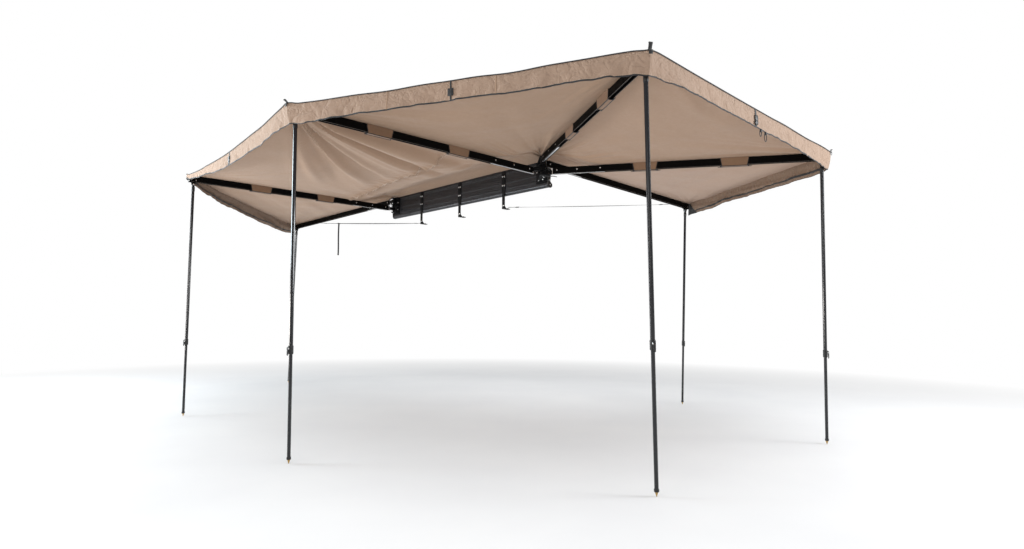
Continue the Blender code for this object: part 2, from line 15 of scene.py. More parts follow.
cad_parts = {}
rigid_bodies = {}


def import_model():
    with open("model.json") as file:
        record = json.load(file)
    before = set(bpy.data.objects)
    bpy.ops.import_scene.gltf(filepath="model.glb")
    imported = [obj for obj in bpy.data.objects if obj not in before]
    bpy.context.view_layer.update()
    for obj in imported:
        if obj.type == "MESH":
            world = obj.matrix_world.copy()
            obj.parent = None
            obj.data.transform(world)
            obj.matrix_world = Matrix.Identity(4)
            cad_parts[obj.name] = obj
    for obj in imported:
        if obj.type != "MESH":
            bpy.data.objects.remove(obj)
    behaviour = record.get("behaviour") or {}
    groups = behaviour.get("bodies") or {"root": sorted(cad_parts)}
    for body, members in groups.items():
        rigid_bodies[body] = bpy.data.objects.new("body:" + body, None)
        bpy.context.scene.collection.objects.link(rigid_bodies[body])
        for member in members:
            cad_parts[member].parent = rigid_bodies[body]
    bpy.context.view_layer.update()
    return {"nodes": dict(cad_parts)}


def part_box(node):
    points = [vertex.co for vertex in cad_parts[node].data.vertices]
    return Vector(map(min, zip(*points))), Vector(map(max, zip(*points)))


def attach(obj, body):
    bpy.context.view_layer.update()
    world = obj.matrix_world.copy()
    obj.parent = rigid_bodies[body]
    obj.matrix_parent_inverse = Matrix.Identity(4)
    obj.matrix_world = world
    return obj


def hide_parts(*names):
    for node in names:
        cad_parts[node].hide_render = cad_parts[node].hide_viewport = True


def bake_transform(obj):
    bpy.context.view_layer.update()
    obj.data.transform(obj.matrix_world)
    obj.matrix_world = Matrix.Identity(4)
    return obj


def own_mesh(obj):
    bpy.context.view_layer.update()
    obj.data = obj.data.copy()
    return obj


for old in list(bpy.data.objects):
    bpy.data.objects.remove(old, do_unlink=True)

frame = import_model()
NODES = frame["nodes"]
SCENE = bpy.context.scene

# ---------------------------------------------------------------- dimensions
HUB = np.array((-0.171, -1.273, 0.205))
FRONT = HUB + np.array((0.096, 2.400, 0.0))
FACE = HUB[0] + 0.142
GROUND = HUB[2] - 2.026
PLATE_Y0, PLATE_Y1 = HUB[1] + 0.092, HUB[1] + 2.474
PLATE_TOP, PLATE_LOW = HUB[2] + 0.135, HUB[2] - 0.090
ROLL_R = 0.022
BRACKET_Y = (HUB[1] + 0.633, HUB[1] + 1.273, HUB[1] + 1.918)
BRACKET_T = 0.0047
ARM_W, ARM_H, ARM_SLOT = 0.030, 0.052, 0.014
ARM_START, ARM_PAST = 0.080, 0.032
LOW, HIGH = 0.006, 0.092
PIVOT_DROP = 0.048
UPPER_R, LOWER_R = 0.0120, 0.01025
POLE_LEAN = 0.050 / 2.0
FOOT_H = 0.029
CANOPY_UP = 0.0300
CORNER_PAST = 0.056
VALANCE = 0.120
CLOTH = 0.0012

ARMS = {
    0: (FRONT, (-0.107, 4.433, -0.003), -0.016, HIGH, 1.362, 0.000),
    1: (FRONT, (-1.951, 2.360, 0.011), 0.016, LOW, 1.374, 0.015),
    2: (HUB, (-2.018, 0.100, 0.058), -0.048, LOW, 1.393, -0.006),
    3: (HUB, (-1.035, -1.735, 0.094), -0.016, HIGH, 1.359, -0.023),
    4: (HUB, (0.963, -1.790, -0.038), 0.016, LOW, 1.329, -0.008),
    5: (HUB, (2.020, -0.037, -0.024), 0.048, HIGH, 1.351, -0.013),
}
Z = np.array((0.0, 0.0, 1.0))


def unit(v):
    return v / np.maximum(np.linalg.norm(v, axis=-1, keepdims=True), 1e-12)


class Arm:
    """Where an arm and its pole lie; the same rule as the frame's."""

    def __init__(self, k):
        pin, tip, offset, layer, upper, lean = ARMS[k]
        self.k, self.pin, self.offset, self.layer, self.upper = k, pin, offset, layer, upper
        self.base = pin + Z * layer
        self.tip = HUB + np.array(tip)
        flat = (self.tip - pin)[:2]
        run = math.sqrt(flat @ flat - offset**2)
        self.heading = math.atan2(flat[1], flat[0]) - math.atan2(offset, run)
        self.level = np.array((math.cos(self.heading), math.sin(self.heading), 0.0))
        self.left = np.array((-self.level[1], self.level[0], 0.0))
        root = self.base + self.left * offset
        self.d = unit(self.tip - root)
        self.length = float(np.linalg.norm(self.tip - root))
        self.up = np.cross(self.d, self.left)
        self.pivot = self.tip - self.up * PIVOT_DROP
        height = self.pivot[2] - GROUND
        self.foot = (
            np.array((self.pivot[0], self.pivot[1], GROUND))
            + self.left * (POLE_LEAN * height)
            + self.level * lean
        )
        self.p = unit(self.foot - self.pivot)
        self.pole_length = float(np.linalg.norm(self.foot - self.pivot))
        self.n = unit(np.cross(self.p, self.d))
        self.corner_s = self.length + CORNER_PAST

    def point(self, s, side=0.0, up=0.0):
        s, side, up = (np.asarray(x, float)[..., None] for x in (s, side, up))
        return self.base + s * self.d + (self.offset + side) * self.left + up * self.up

    def seam(self, s):
        """Where the cloth crosses the arm; over the lower layer it first comes down from the upper plates."""
        s = np.asarray(s, float)
        if self.layer == HIGH:
            rise = 0.032 * np.maximum(0.0, 1 - s / 0.16) ** 2
        else:
            f = np.clip((s - 0.08) / 0.42, 0.0, 1.0)
            rise = 0.112 * (1 - f * f * (3 - 2 * f))
        return self.point(s, 0.0, CANOPY_UP + rise)

    def matrix(self, s, side=0.0, up=0.0):
        """A frame at that place: X along the arm, Y to its left, Z up."""
        return axes(self.point(s, side, up), self.d, self.left, self.up)

    def pole_frame(self, down):
        """A frame on the pole that far below the pivot: Z up the pole, X to the hub side."""
        z = -self.p
        return axes(self.pivot + self.p * down, np.cross(self.n, z), self.n, z)


def axes(origin, x, y, z):
    m = np.eye(4)
    m[:3, 0], m[:3, 1], m[:3, 2], m[:3, 3] = x, y, z, origin
    return m


ARM = {k: Arm(k) for k in ARMS}

# ---------------------------------------------------------------- camera
CAM = HUB + np.array((-3.56732, -3.53399, -1.18473))
AZ, PITCH, ROLL = (math.radians(a) for a in (42.49, 4.018, 0.454))
ahead = np.array((math.sin(AZ), math.cos(AZ), 0.0))
right = np.array((math.cos(AZ), -math.sin(AZ), 0.0))
view = math.cos(PITCH) * ahead + math.sin(PITCH) * Z
upward = -math.sin(PITCH) * ahead + math.cos(PITCH) * Z
cam_x = math.cos(ROLL) * right + math.sin(ROLL) * upward
cam_y = -math.sin(ROLL) * right + math.cos(ROLL) * upward
lens = bpy.data.cameras.new("camera")
lens.sensor_fit, lens.sensor_width, lens.lens = "HORIZONTAL", 36.0, 630.4 * 36.0 / 1024.0
lens.clip_start, lens.clip_end = 0.05, 300.0
camera = bpy.data.objects.new("camera", lens)
SCENE.collection.objects.link(camera)
camera.matrix_world = Matrix(axes(CAM, cam_x, cam_y, -view).tolist())
SCENE.camera = camera


# ---------------------------------------------------------------- materials
class Shader:
    """A Principled material with helpers for its procedural part."""

    def __init__(self, name, rgb, rough, metal=0.0, **sockets):
        self.mat = bpy.data.materials.new(name)
        self.mat.use_nodes = True
        self.tree = self.mat.node_tree
        self.shader = self.tree.nodes["Principled BSDF"]
        self.rgb = rgb
        self.shader.inputs["Base Color"].default_value = (*rgb, 1)
        self.shader.inputs["Roughness"].default_value = rough
        self.shader.inputs["Metallic"].default_value = metal
        for key, value in sockets.items():
            self.shader.inputs[key.replace("_", " ")].default_value = value
        self.rough = rough
        self.coords = self.tree.nodes.new("ShaderNodeTexCoord")
        self.normal = None
        self.mat.diffuse_color = (*rgb, 1)

    def node(self, kind, **props):
        node = self.tree.nodes.new(kind)
        for key, value in props.items():
            setattr(node, key, value)
        return node

    def link(self, a, b):
        self.tree.links.new(a, b)

    def mapped(self, scale=(1, 1, 1), space="Object", rotation=(0, 0, 0)):
        m = self.node("ShaderNodeMapping")
        m.inputs["Scale"].default_value = scale
        m.inputs["Rotation"].default_value = rotation
        self.link(self.coords.outputs[space], m.inputs["Vector"])
        return m.outputs["Vector"]

    def noise(self, scale, detail=3.0, rough=0.55, stretch=(1, 1, 1), space="Object", distortion=0.0):
        n = self.node("ShaderNodeTexNoise")
        n.inputs["Scale"].default_value = scale
        n.inputs["Detail"].default_value = detail
        n.inputs["Roughness"].default_value = rough
        n.inputs["Distortion"].default_value = distortion
        self.link(self.mapped(stretch, space), n.inputs["Vector"])
        return n.outputs["Fac"]

    def wave(self, scale, direction="X", space="UV", profile="SIN", distortion=0.0, rotation=(0, 0, 0)):
        n = self.node("ShaderNodeTexWave", wave_type="BANDS", bands_direction=direction, wave_profile=profile)
        n.inputs["Scale"].default_value = scale
        n.inputs["Distortion"].default_value = distortion
        self.link(self.mapped((1, 1, 1), space, rotation), n.inputs["Vector"])
        return n.outputs["Fac"]

    def maths(self, operation, a, b=None, clamp=False):
        m = self.node("ShaderNodeMath", operation=operation, use_clamp=clamp)
        for socket, value in zip(m.inputs, (a, b)):
            if value is None:
                continue
            if isinstance(value, (int, float)):
                socket.default_value = value
            else:
                self.link(value, socket)
        return m.outputs[0]

    def span(self, value, low, high, to_low=0.0, to_high=1.0):
        r = self.node("ShaderNodeMapRange")
        for key, number in (("From Min", low), ("From Max", high), ("To Min", to_low), ("To Max", to_high)):
            r.inputs[key].default_value = number
        self.link(value, r.inputs["Value"])
        return r.outputs["Result"]

    def mix(self, factor, a, b, blend="MIX"):
        m = self.node("ShaderNodeMix", data_type="RGBA", blend_type=blend)
        sockets = [s for s in m.inputs if s.type == "RGBA"]
        for socket, value in zip(sockets, (a, b)):
            if isinstance(value, tuple):
                socket.default_value = (*value, 1)
            else:
                self.link(value, socket)
        if isinstance(factor, (int, float)):
            m.inputs[0].default_value = factor
        else:
            self.link(factor, m.inputs[0])
        return [o for o in m.outputs if o.type == "RGBA"][0]

    def colour(self, value):
        self.link(value, self.shader.inputs["Base Color"])

    def roughness(self, value):
        self.link(value, self.shader.inputs["Roughness"])

    def bump(self, height, distance, strength=1.0):
        b = self.node("ShaderNodeBump")
        b.inputs["Distance"].default_value = distance
        b.inputs["Strength"].default_value = strength
        self.link(height, b.inputs["Height"])
        if self.normal is not None:
            self.link(self.normal, b.inputs["Normal"])
        self.normal = b.outputs["Normal"]
        self.link(self.normal, self.shader.inputs["Normal"])


def scaled(rgb, k):
    return tuple(min(1.0, c * k) for c in rgb)


def canvas(name, rgb, fold=0.0, crinkle=0.0):
    """Coated canvas: a plain weave with a ripstop grid, faint blotches, and wear where it was folded."""
    m = Shader(name, rgb, 0.78, Sheen_Weight=0.12, Sheen_Roughness=0.5, Specular_IOR_Level=0.32)
    warp, weft = m.wave(230, "X"), m.wave(230, "Y")
    weave = m.maths("MULTIPLY", warp, weft)
    rip_x = m.maths("POWER", m.wave(40, "X"), 14.0)
    rip_y = m.maths("POWER", m.wave(40, "Y"), 14.0)
    grid = m.maths("MAXIMUM", rip_x, rip_y)
    large = m.noise(1.7, 4, 0.6)
    small = m.noise(34, 4, 0.7)
    base = m.mix(m.span(large, 0.32, 0.68), scaled(rgb, 0.94), scaled(rgb, 1.05))
    base = m.mix(m.span(small, 0.35, 0.7, 0.0, 0.5), base, scaled(rgb, 0.93))
    base = m.mix(m.maths("MULTIPLY", grid, 0.22), base, scaled(rgb, 1.12))
    base = m.mix(m.maths("MULTIPLY", weave, 0.16), base, scaled(rgb, 0.80))
    m.colour(base)
    m.roughness(m.span(small, 0.3, 0.7, 0.70, 0.86))
    m.bump(m.noise(5, 4, 0.55, distortion=0.3), 0.006 + fold, 0.5)
    if crinkle:
        for scale, deep in ((7.0, 0.0070), (19.0, 0.0036)):
            ridge = m.maths("ABSOLUTE", m.maths("SUBTRACT", m.noise(scale, 3, 0.5, distortion=0.6), 0.5))
            m.bump(m.span(ridge, 0.0, 0.10), deep * crinkle, 0.7)
    m.bump(m.noise(60, 3, 0.6), 0.0014, 0.5)
    m.bump(grid, 0.00018, 0.6)
    m.bump(weave, 0.00012, 0.6)
    return m.mat


def webbing(name, rgb):
    """Woven strap: herringbone ribs across its width and a firmer edge."""
    m = Shader(name, rgb, 0.62, Sheen_Weight=0.2, Sheen_Roughness=0.4)
    a = m.wave(110, "DIAGONAL", rotation=(0, 0, 0))
    b = m.wave(150, "Y")
    rib = m.maths("MULTIPLY", a, b)
    fuzz = m.noise(420, 2, 0.5)
    m.colour(m.mix(m.span(rib, 0.1, 0.8), scaled(rgb, 0.55), scaled(rgb, 1.7)))
    m.roughness(m.span(fuzz, 0.3, 0.7, 0.55, 0.75))
    m.bump(rib, 0.0004, 0.8)
    m.bump(fuzz, 0.0002, 0.4)
    return m.mat


def coated(name, rgb, rough, speckle=650, spec=0.5):
    """Powder coat: fine orange peel, slightly lighter where it is rubbed."""
    m = Shader(name, rgb, rough, Specular_IOR_Level=spec)
    peel = m.noise(speckle, 2, 0.5)
    rubbed = m.noise(14, 5, 0.7)
    m.colour(m.mix(m.span(rubbed, 0.55, 0.8, 0.0, 0.35), rgb, scaled(rgb, 2.2)))
    m.roughness(m.span(m.noise(30, 4, 0.6), 0.3, 0.7, rough - 0.08, rough + 0.08))
    m.bump(peel, 0.00025, 0.5)
    return m.mat


def extruded(name, rgb, rough, metal, along="Y", spec=0.5):
    """Anodised extrusion: die lines along its length and a few rubbed places."""
    m = Shader(name, rgb, rough, metal, Specular_IOR_Level=spec)
    stretch = (900, 3, 900) if along == "Y" else (240, 240, 0.6)
    spread, deep = (0.07, 0.00005) if along == "Y" else (0.025, 0.00002)
    lines = m.noise(1.0, 2, 0.5, stretch)
    rubbed = m.noise(11, 5, 0.7, (1, 0.4, 1))
    base = m.mix(m.span(lines, 0.3, 0.7, 0.0, 0.5), scaled(rgb, 0.85), scaled(rgb, 1.25))
    m.colour(m.mix(m.span(rubbed, 0.6, 0.85, 0.0, 0.5), base, scaled(rgb, 2.0)))
    m.roughness(m.span(lines, 0.3, 0.7, rough - spread, rough + spread))
    m.bump(lines, deep, 0.20)
    return m.mat


def bright_metal(name, rgb, rough, grain=500):
    m = Shader(name, rgb, rough, 1.0)
    fine = m.noise(grain, 3, 0.6)
    dull = m.noise(40, 4, 0.6)
    m.colour(m.mix(m.span(dull, 0.35, 0.7, 0.0, 0.6), rgb, scaled(rgb, 0.72)))
    m.roughness(m.span(fine, 0.3, 0.7, rough - 0.06, rough + 0.12))
    m.bump(fine, 0.0001, 0.25)
    return m.mat


def moulded(name, rgb, rough):
    m = Shader(name, rgb, rough, Specular_IOR_Level=0.45)
    grain = m.noise(900, 2, 0.4)
    m.colour(m.mix(m.span(m.noise(20, 4, 0.6), 0.4, 0.75, 0.0, 0.5), rgb, scaled(rgb, 1.8)))
    m.roughness(m.span(m.noise(60, 3, 0.6), 0.3, 0.7, rough - 0.07, rough + 0.09))
    m.bump(grain, 0.0002, 0.4)
    return m.mat


def coated_fabric(name, rgb):
    """Black PVC coated fabric of the travel cover: coarse weave under a dull skin, and creases."""
    m = Shader(name, rgb, 0.5, Specular_IOR_Level=0.45)
    a, b = m.wave(120, "X"), m.wave(120, "Y")
    weave = m.maths("MAXIMUM", a, b)
    m.colour(m.mix(m.span(m.noise(6, 5, 0.65), 0.35, 0.75), rgb, scaled(rgb, 2.1)))
    m.roughness(m.span(m.noise(25, 4, 0.6), 0.3, 0.7, 0.42, 0.62))
    m.bump(m.noise(24, 5, 0.65, (1, 0.35, 1)), 0.006, 0.6)
    m.bump(weave, 0.00025, 0.5)
    return m.mat


TAN = (0.372, 0.243, 0.163)
CANVAS = canvas("tan_canvas", TAN)
# a darker copy of the canvas for the rear outer panel: painted shade
CANVAS_PAINTED_SHADE = canvas("tan_canvas_painted_shade", tuple(c * k for c, k in zip(TAN, (0.90, 0.88, 0.84))))
# a paler copy of the canvas for the rear inner panel: painted light
CANVAS_PAINTED_LIGHT = canvas("tan_canvas_painted_light", tuple(c * k for c, k in zip(TAN, (1.12, 1.17, 1.27))))
# the valances' canvas in a cooler tint: painted cool light
VALANCE_PAINTED_COOL_LIGHT = canvas("tan_canvas_valance_painted_cool_light", (TAN[0] * 0.93, TAN[1] * 0.97, TAN[2] * 1.04), 0.003, 0.75)
# the inside of the front and inner valances in a much darker canvas: painted shade
VALANCE_INSIDE_PAINTED_SHADE = canvas("tan_canvas_inside_painted_shade", scaled(TAN, 0.56), 0.003, 0.80)
HEM = canvas("tan_canvas_hem", scaled(TAN, 0.90), 0.002)
# the sleeves in a darker brown than the canopy: painted shade
SLEEVE_PAINTED_SHADE = canvas("tan_canvas_sleeve_painted_shade", (0.235, 0.140, 0.084), 0.002)
THREAD = moulded("tan_thread", (0.74, 0.68, 0.60), 0.7)
PIPING = webbing("black_piping", (0.013, 0.013, 0.015))
WEBBING = webbing("black_webbing", (0.012, 0.012, 0.013))
CHARCOAL = extruded("charcoal_anodised", (0.024, 0.0245, 0.028), 0.30, 0.45, "Y", 0.5)
BLACK_COAT = coated("black_powder_coat", (0.0038, 0.0038, 0.0042), 0.50, 650, 0.09)
ARM_COAT = coated("black_arm_coat", (0.0032, 0.0029, 0.0027), 0.55, 500, 0.03)
POLE_BLACK = extruded("black_anodised_tube", (0.0068, 0.0071, 0.0094), 0.17, 0.0, "Z", 0.50)
BARE = bright_metal("bare_aluminium", (0.86, 0.87, 0.88), 0.30)
STEEL = bright_metal("zinc_steel", (0.86, 0.86, 0.85), 0.24)
BRONZE = bright_metal("bronze_foot", (0.50, 0.33, 0.12), 0.34)
PLASTIC = moulded("black_plastic", (0.007, 0.007, 0.0075), 0.44)
BAG = coated_fabric("black_pvc_fabric", (0.013, 0.013, 0.014))
# lighter metal for the beads on the arms' lower corners: a painted highlight
EDGE_PAINTED_HIGHLIGHT = extruded("painted_edge_highlight", (0.16, 0.145, 0.13), 0.34, 0.8)

for name, node in NODES.items():
    if name == "backing_plate":
        mat = CHARCOAL
    elif name == "rear_end_cap" or name.endswith("_clamp"):
        mat = PLASTIC
    elif name.endswith("_hinge_pin") or name.endswith("_hub_pin"):
        mat = BLACK_COAT
    elif name.endswith("_knuckle"):
        mat = BARE
    elif name.endswith("_channel") or name.endswith("_tip"):
        mat = ARM_COAT
    elif name.endswith("_upper") or name.endswith("_lower"):
        mat = POLE_BLACK
    elif name.endswith("_foot"):
        mat = BRONZE
    else:
        mat = BLACK_COAT
    node.data.materials.clear()
    node.data.materials.append(mat)
    if name.endswith("_knuckle"):
        # the eye and the first of the bar are coated, the rest is bare
        node.data.materials.append(BLACK_COAT)
        eye = ARM[int(name.split("_")[1])].base
        world = np.array(node.matrix_world)
        centres = np.array([p.center[:] for p in node.data.polygons]) @ world[:3, :3].T + world[:3, 3]
        near = np.linalg.norm((centres - eye)[:, :2], axis=1) < 0.115
        node.data.polygons.foreach_set("material_index", near.astype(np.int32))


# ---------------------------------------------------------------- mesh tools
class Build:
    """Gathers shapes into one mesh. Each shape is (points, faces, uv)."""

    def __init__(self):
        self.points, self.faces, self.uvs, self.slots, self.count = [], [], [], [], 0

    def add(self, shape, matrix=None, slot=0):
        points, faces, uv = shape
        points = np.asarray(points, float)
        if matrix is not None:
            points = points @ matrix[:3, :3].T + matrix[:3, 3]
            if np.linalg.det(matrix[:3, :3]) < 0:
                faces = [f[::-1] for f in faces]
        if uv is None:
            uv = points[:, :2]
        self.points.append(points)
        self.uvs.append(np.asarray(uv, float))
        self.faces += [tuple(int(i) + self.count for i in f) for f in faces]
        self.slots += [slot] * len(faces)
        self.count += len(points)
        return self

    def object(self, name, materials, angle=38.0):
        mesh = bpy.data.meshes.new(name)
        mesh.from_pydata(np.concatenate(self.points).tolist(), [], self.faces)
        mesh.polygons.foreach_set("material_index", self.slots)
        loops = np.empty(len(mesh.loops), np.int32)
        mesh.loops.foreach_get("vertex_index", loops)
        layer = mesh.uv_layers.new(name="UVMap")
        layer.data.foreach_set("uv", np.concatenate(self.uvs)[loops].astype(np.float32).ravel())
        for mat in materials if isinstance(materials, (list, tuple)) else [materials]:
            mesh.materials.append(mat)
        mesh.update()
        mesh.shade_smooth()
        mesh.set_sharp_from_angle(angle=math.radians(angle))
        obj = bpy.data.objects.new(name, mesh)
        SCENE.collection.objects.link(obj)
        return obj


def arc_length(path):
    return np.concatenate([[0], np.cumsum(np.linalg.norm(np.diff(path, axis=0), axis=1))])


def sweep(path, section, up=Z, cap=True, scale=None):
    """The section, (across, up) points in order, carried along the path. up is one vector or one per point."""
    path, section = np.asarray(path, float), np.asarray(section, float)
    n, m = len(path), len(section)
    t = unit(np.gradient(path, axis=0))
    up = np.broadcast_to(np.asarray(up, float), path.shape)
    side = unit(np.cross(t, up))
    high = np.cross(side, t)
    scale = np.ones(n) if scale is None else np.asarray(scale, float)
    points = (
        path[:, None]
        + side[:, None] * (section[None, :, :1] * scale[:, None, None])
        + high[:, None] * (section[None, :, 1:] * scale[:, None, None])
    )
    faces = []
    for i in range(n - 1):
        for j in range(m):
            k = (j + 1) % m
            faces.append((i * m + j, i * m + k, (i + 1) * m + k, (i + 1) * m + j))
    if cap:
        faces.append(tuple(range(m))[::-1])
        faces.append(tuple((n - 1) * m + j for j in range(m)))
    around = arc_length(np.vstack([section, section[:1]]))[:-1]
    along = arc_length(path)
    uv = np.stack(np.broadcast_arrays(around[None, :], along[:, None]), axis=-1).reshape(-1, 2)
    return points.reshape(-1, 3), faces, uv


def ring(radius, sides=10):
    """Clockwise in (across, up), so that swept faces look outwards."""
    a = -np.arange(sides) * 2 * math.pi / sides
    return np.stack([radius * np.cos(a), radius * np.sin(a)], axis=1)


def flat_section(width, thick, rounding=0.35):
    w, t, r = width / 2, thick / 2, min(thick / 2, width / 2) * rounding * 2
    return np.array(
        [(w, t - r), (w, -t + r), (w - r, -t), (-w + r, -t), (-w, -t + r), (-w, t - r), (-w + r, t), (w - r, t)]
    )


def lathe(profile, sides=20):
    """A turned shape about Z from (radius, height) points, from its bottom on the axis to its top on the axis."""
    points, faces, rows = [], [], []
    for radius, height in profile:
        if radius <= 1e-9:
            rows.append([len(points)])
            points.append((0, 0, height))
        else:
            rows.append(list(range(len(points), len(points) + sides)))
            points += [
                (radius * math.cos(2 * math.pi * k / sides), radius * math.sin(2 * math.pi * k / sides), height)
                for k in range(sides)
            ]
    for a, b in zip(rows, rows[1:]):
        for k in range(sides):
            n = (k + 1) % sides
            corner = [a[k % len(a)], a[n % len(a)], b[n % len(b)], b[k % len(b)]]
            face = list(dict.fromkeys(corner))
            if len(face) > 2:
                faces.append(tuple(face))
    return np.array(points), faces, None


_blocks = {}


def block(size, bevel=0.001, segments=2):
    """A box with rounded edges, centred."""
    key = (tuple(round(x, 6) for x in size), round(bevel, 6), segments)
    if key not in _blocks:
        bm = bmesh.new()
        bmesh.ops.create_cube(bm, size=1.0)
        bmesh.ops.scale(bm, vec=size, verts=bm.verts)
        bmesh.ops.bevel(bm, geom=list(bm.edges), offset=bevel, segments=segments, profile=0.6, affect="EDGES")
        bm.verts.ensure_lookup_table()
        _blocks[key] = (
            np.array([v.co[:] for v in bm.verts]),
            [tuple(v.index for v in f.verts) for f in bm.faces],
            None,
        )
        bm.free()
    return _blocks[key]


def plate_shape(outline, low, high, bevel=0.0006):
    """A flat plate with its outline in X and Y and rounded rims."""
    outline = np.asarray(outline, float)
    n = len(outline)
    before, after = np.roll(outline, 1, 0), np.roll(outline, -1, 0)
    e1, e2 = unit(outline - before), unit(after - outline)
    normal = unit(np.stack([e1[:, 1] + e2[:, 1], -(e1[:, 0] + e2[:, 0])], axis=1))
    inner = outline - normal * bevel
    rows = [
        np.column_stack([inner, np.full(n, low)]),
        np.column_stack([outline, np.full(n, low + bevel)]),
        np.column_stack([outline, np.full(n, high - bevel)]),
        np.column_stack([inner, np.full(n, high)]),
    ]
    faces = [tuple(range(n))[::-1], tuple(3 * n + i for i in range(n))]
    for r in range(3):
        for i in range(n):
            j = (i + 1) % n
            faces.append((r * n + i, r * n + j, (r + 1) * n + j, (r + 1) * n + i))
    return np.concatenate(rows), faces, None


def bolt(radius=0.005, height=0.004, washer=True):
    """Button head with a socket on a washer, its seat at z = 0."""
    r, h = radius, height
    w = 1.45 * r if washer else r
    t = 0.0012 if washer else 0.0
    return lathe(
        [
            (0, -0.001), (w, -0.001), (w, t * 0.7), (w * 0.96, t), (r, t), (r, t + 0.30 * h), (0.93 * r, t + 0.62 * h),
            (0.76 * r, t + 0.88 * h), (0.55 * r, t + h), (0.48 * r, t + h), (0.44 * r, t + 0.45 * h), (0, t + 0.42 * h),
        ],
        18,
    )


def hex_nut(radius=0.007, height=0.005):
    outline = [(radius * math.cos(math.radians(60 * k)), radius * math.sin(math.radians(60 * k))) for k in range(6)]
    return plate_shape(outline, 0.0, height, radius * 0.10)


def facing(point, normal, along=Z):
    """A frame with Z along the normal and X close to along."""
    z = unit(np.asarray(normal, float))
    x = np.asarray(along, float)
    x = x - z * (x @ z)
    if np.linalg.norm(x) < 1e-6:
        x = np.array((1.0, 0, 0)) - z * z[0]
    x = unit(x)
    return axes(np.asarray(point, float), x, np.cross(z, x), z)


def smooth(x):
    x = np.clip(x, 0.0, 1.0)
    return x * x * (3 - 2 * x)


def lattice(i, seed):
    h = np.sin(i * 12.9898 + seed * 78.233) * 43758.5453
    return 2.0 * (h - np.floor(h)) - 1.0


def noise1(x, seed=0):
    i = np.floor(x)
    f = smooth(x - i)
    return lattice(i, seed) * (1 - f) + lattice(i + 1, seed) * f


def noise2(x, y, seed=0):
    i, j = np.floor(x), np.floor(y)
    f, g = smooth(x - i), smooth(y - j)
    row = lambda k: lattice(i + 57.31 * k, seed) * (1 - f) + lattice(i + 1 + 57.31 * k, seed) * f
    return row(j) * (1 - g) + row(j + 1) * g


def creases(x, y, seed=0, layers=3):
    """Sharp ridges with soft hollows between them, about -1 to 1."""
    total, size = 0.0, 1.0
    for k in range(layers):
        n = noise2(x * 2**k, y * 2**k, seed + 7 * k)
        total = total + size * (1 - 2.4 * np.abs(n))
        size *= 0.5
    return total / 1.75


# ---------------------------------------------------------------- canopy cloth
COLS, ROWS, DROPS = 132, 84, 13


def shell(name, grid, material, thickness=CLOTH, edge_row=None, inside=1):
    """A closed thin sheet round a grid of middle points, rows outwards and columns counter-clockwise."""
    rows, cols = grid.shape[:2]
    across = np.gradient(grid, axis=1)
    down = np.gradient(grid, axis=0)
    normal = unit(np.cross(down, across))
    n = rows * cols
    points = np.concatenate(
        [(grid + normal * thickness / 2).reshape(-1, 3), (grid - normal * thickness / 2).reshape(-1, 3)]
    )
    index = np.arange(n).reshape(rows, cols)
    a, b, c, d = index[:-1, :-1], index[1:, :-1], index[1:, 1:], index[:-1, 1:]
    top = np.stack([a, b, c, d], axis=-1).reshape(-1, 4)
    low = np.stack([a, d, c, b], axis=-1).reshape(-1, 4) + n
    rim = np.concatenate([index[:, 0], index[-1, 1:], index[-2::-1, -1], index[0, -2:0:-1]])
    after = np.roll(rim, -1)
    side = np.stack([rim, rim + n, after + n, after], axis=-1)
    faces = np.concatenate([top, low, side]).tolist()
    widest = max(
        np.linalg.norm(np.diff(grid[-1], axis=0), axis=1).sum(), np.linalg.norm(np.diff(grid[0], axis=0), axis=1).sum()
    )
    u = np.broadcast_to(np.linspace(0, widest, cols)[None, :], (rows, cols))
    v = np.zeros((rows, cols))
    v[1:] = np.cumsum(np.linalg.norm(np.diff(grid, axis=0), axis=2).mean(axis=1))[:, None]
    uv = np.stack([u, v], axis=-1).reshape(-1, 2)
    build = Build().add((points, faces, np.concatenate([uv, uv])))
    # below the edge row the lower side can take another slot, there the darker inside cloth that is painted shade
    if edge_row is not None:
        row = np.arange((rows - 1) * (cols - 1)) // (cols - 1)
        below = (row >= edge_row).astype(int)
        build.slots = below.tolist() + (below * inside).tolist() + [0] * len(rim)
    area = 0.0
    for tri in ((a, b, c), (a, c, d)):
        p, q, r = (grid.reshape(-1, 3)[t.ravel()] for t in tri)
        area += 0.5 * np.linalg.norm(np.cross(q - p, r - p), axis=1).sum()
    obj = build.object(name, material, 48)
    return obj, float(area), normal


def from_corner(points, corner, inward, left):
    """Distance from a corner and the angle round it from the inward direction, in plan."""
    away = points - corner
    x, y = away @ inward, away @ left
    return np.hypot(x, y), np.arctan2(y, x)


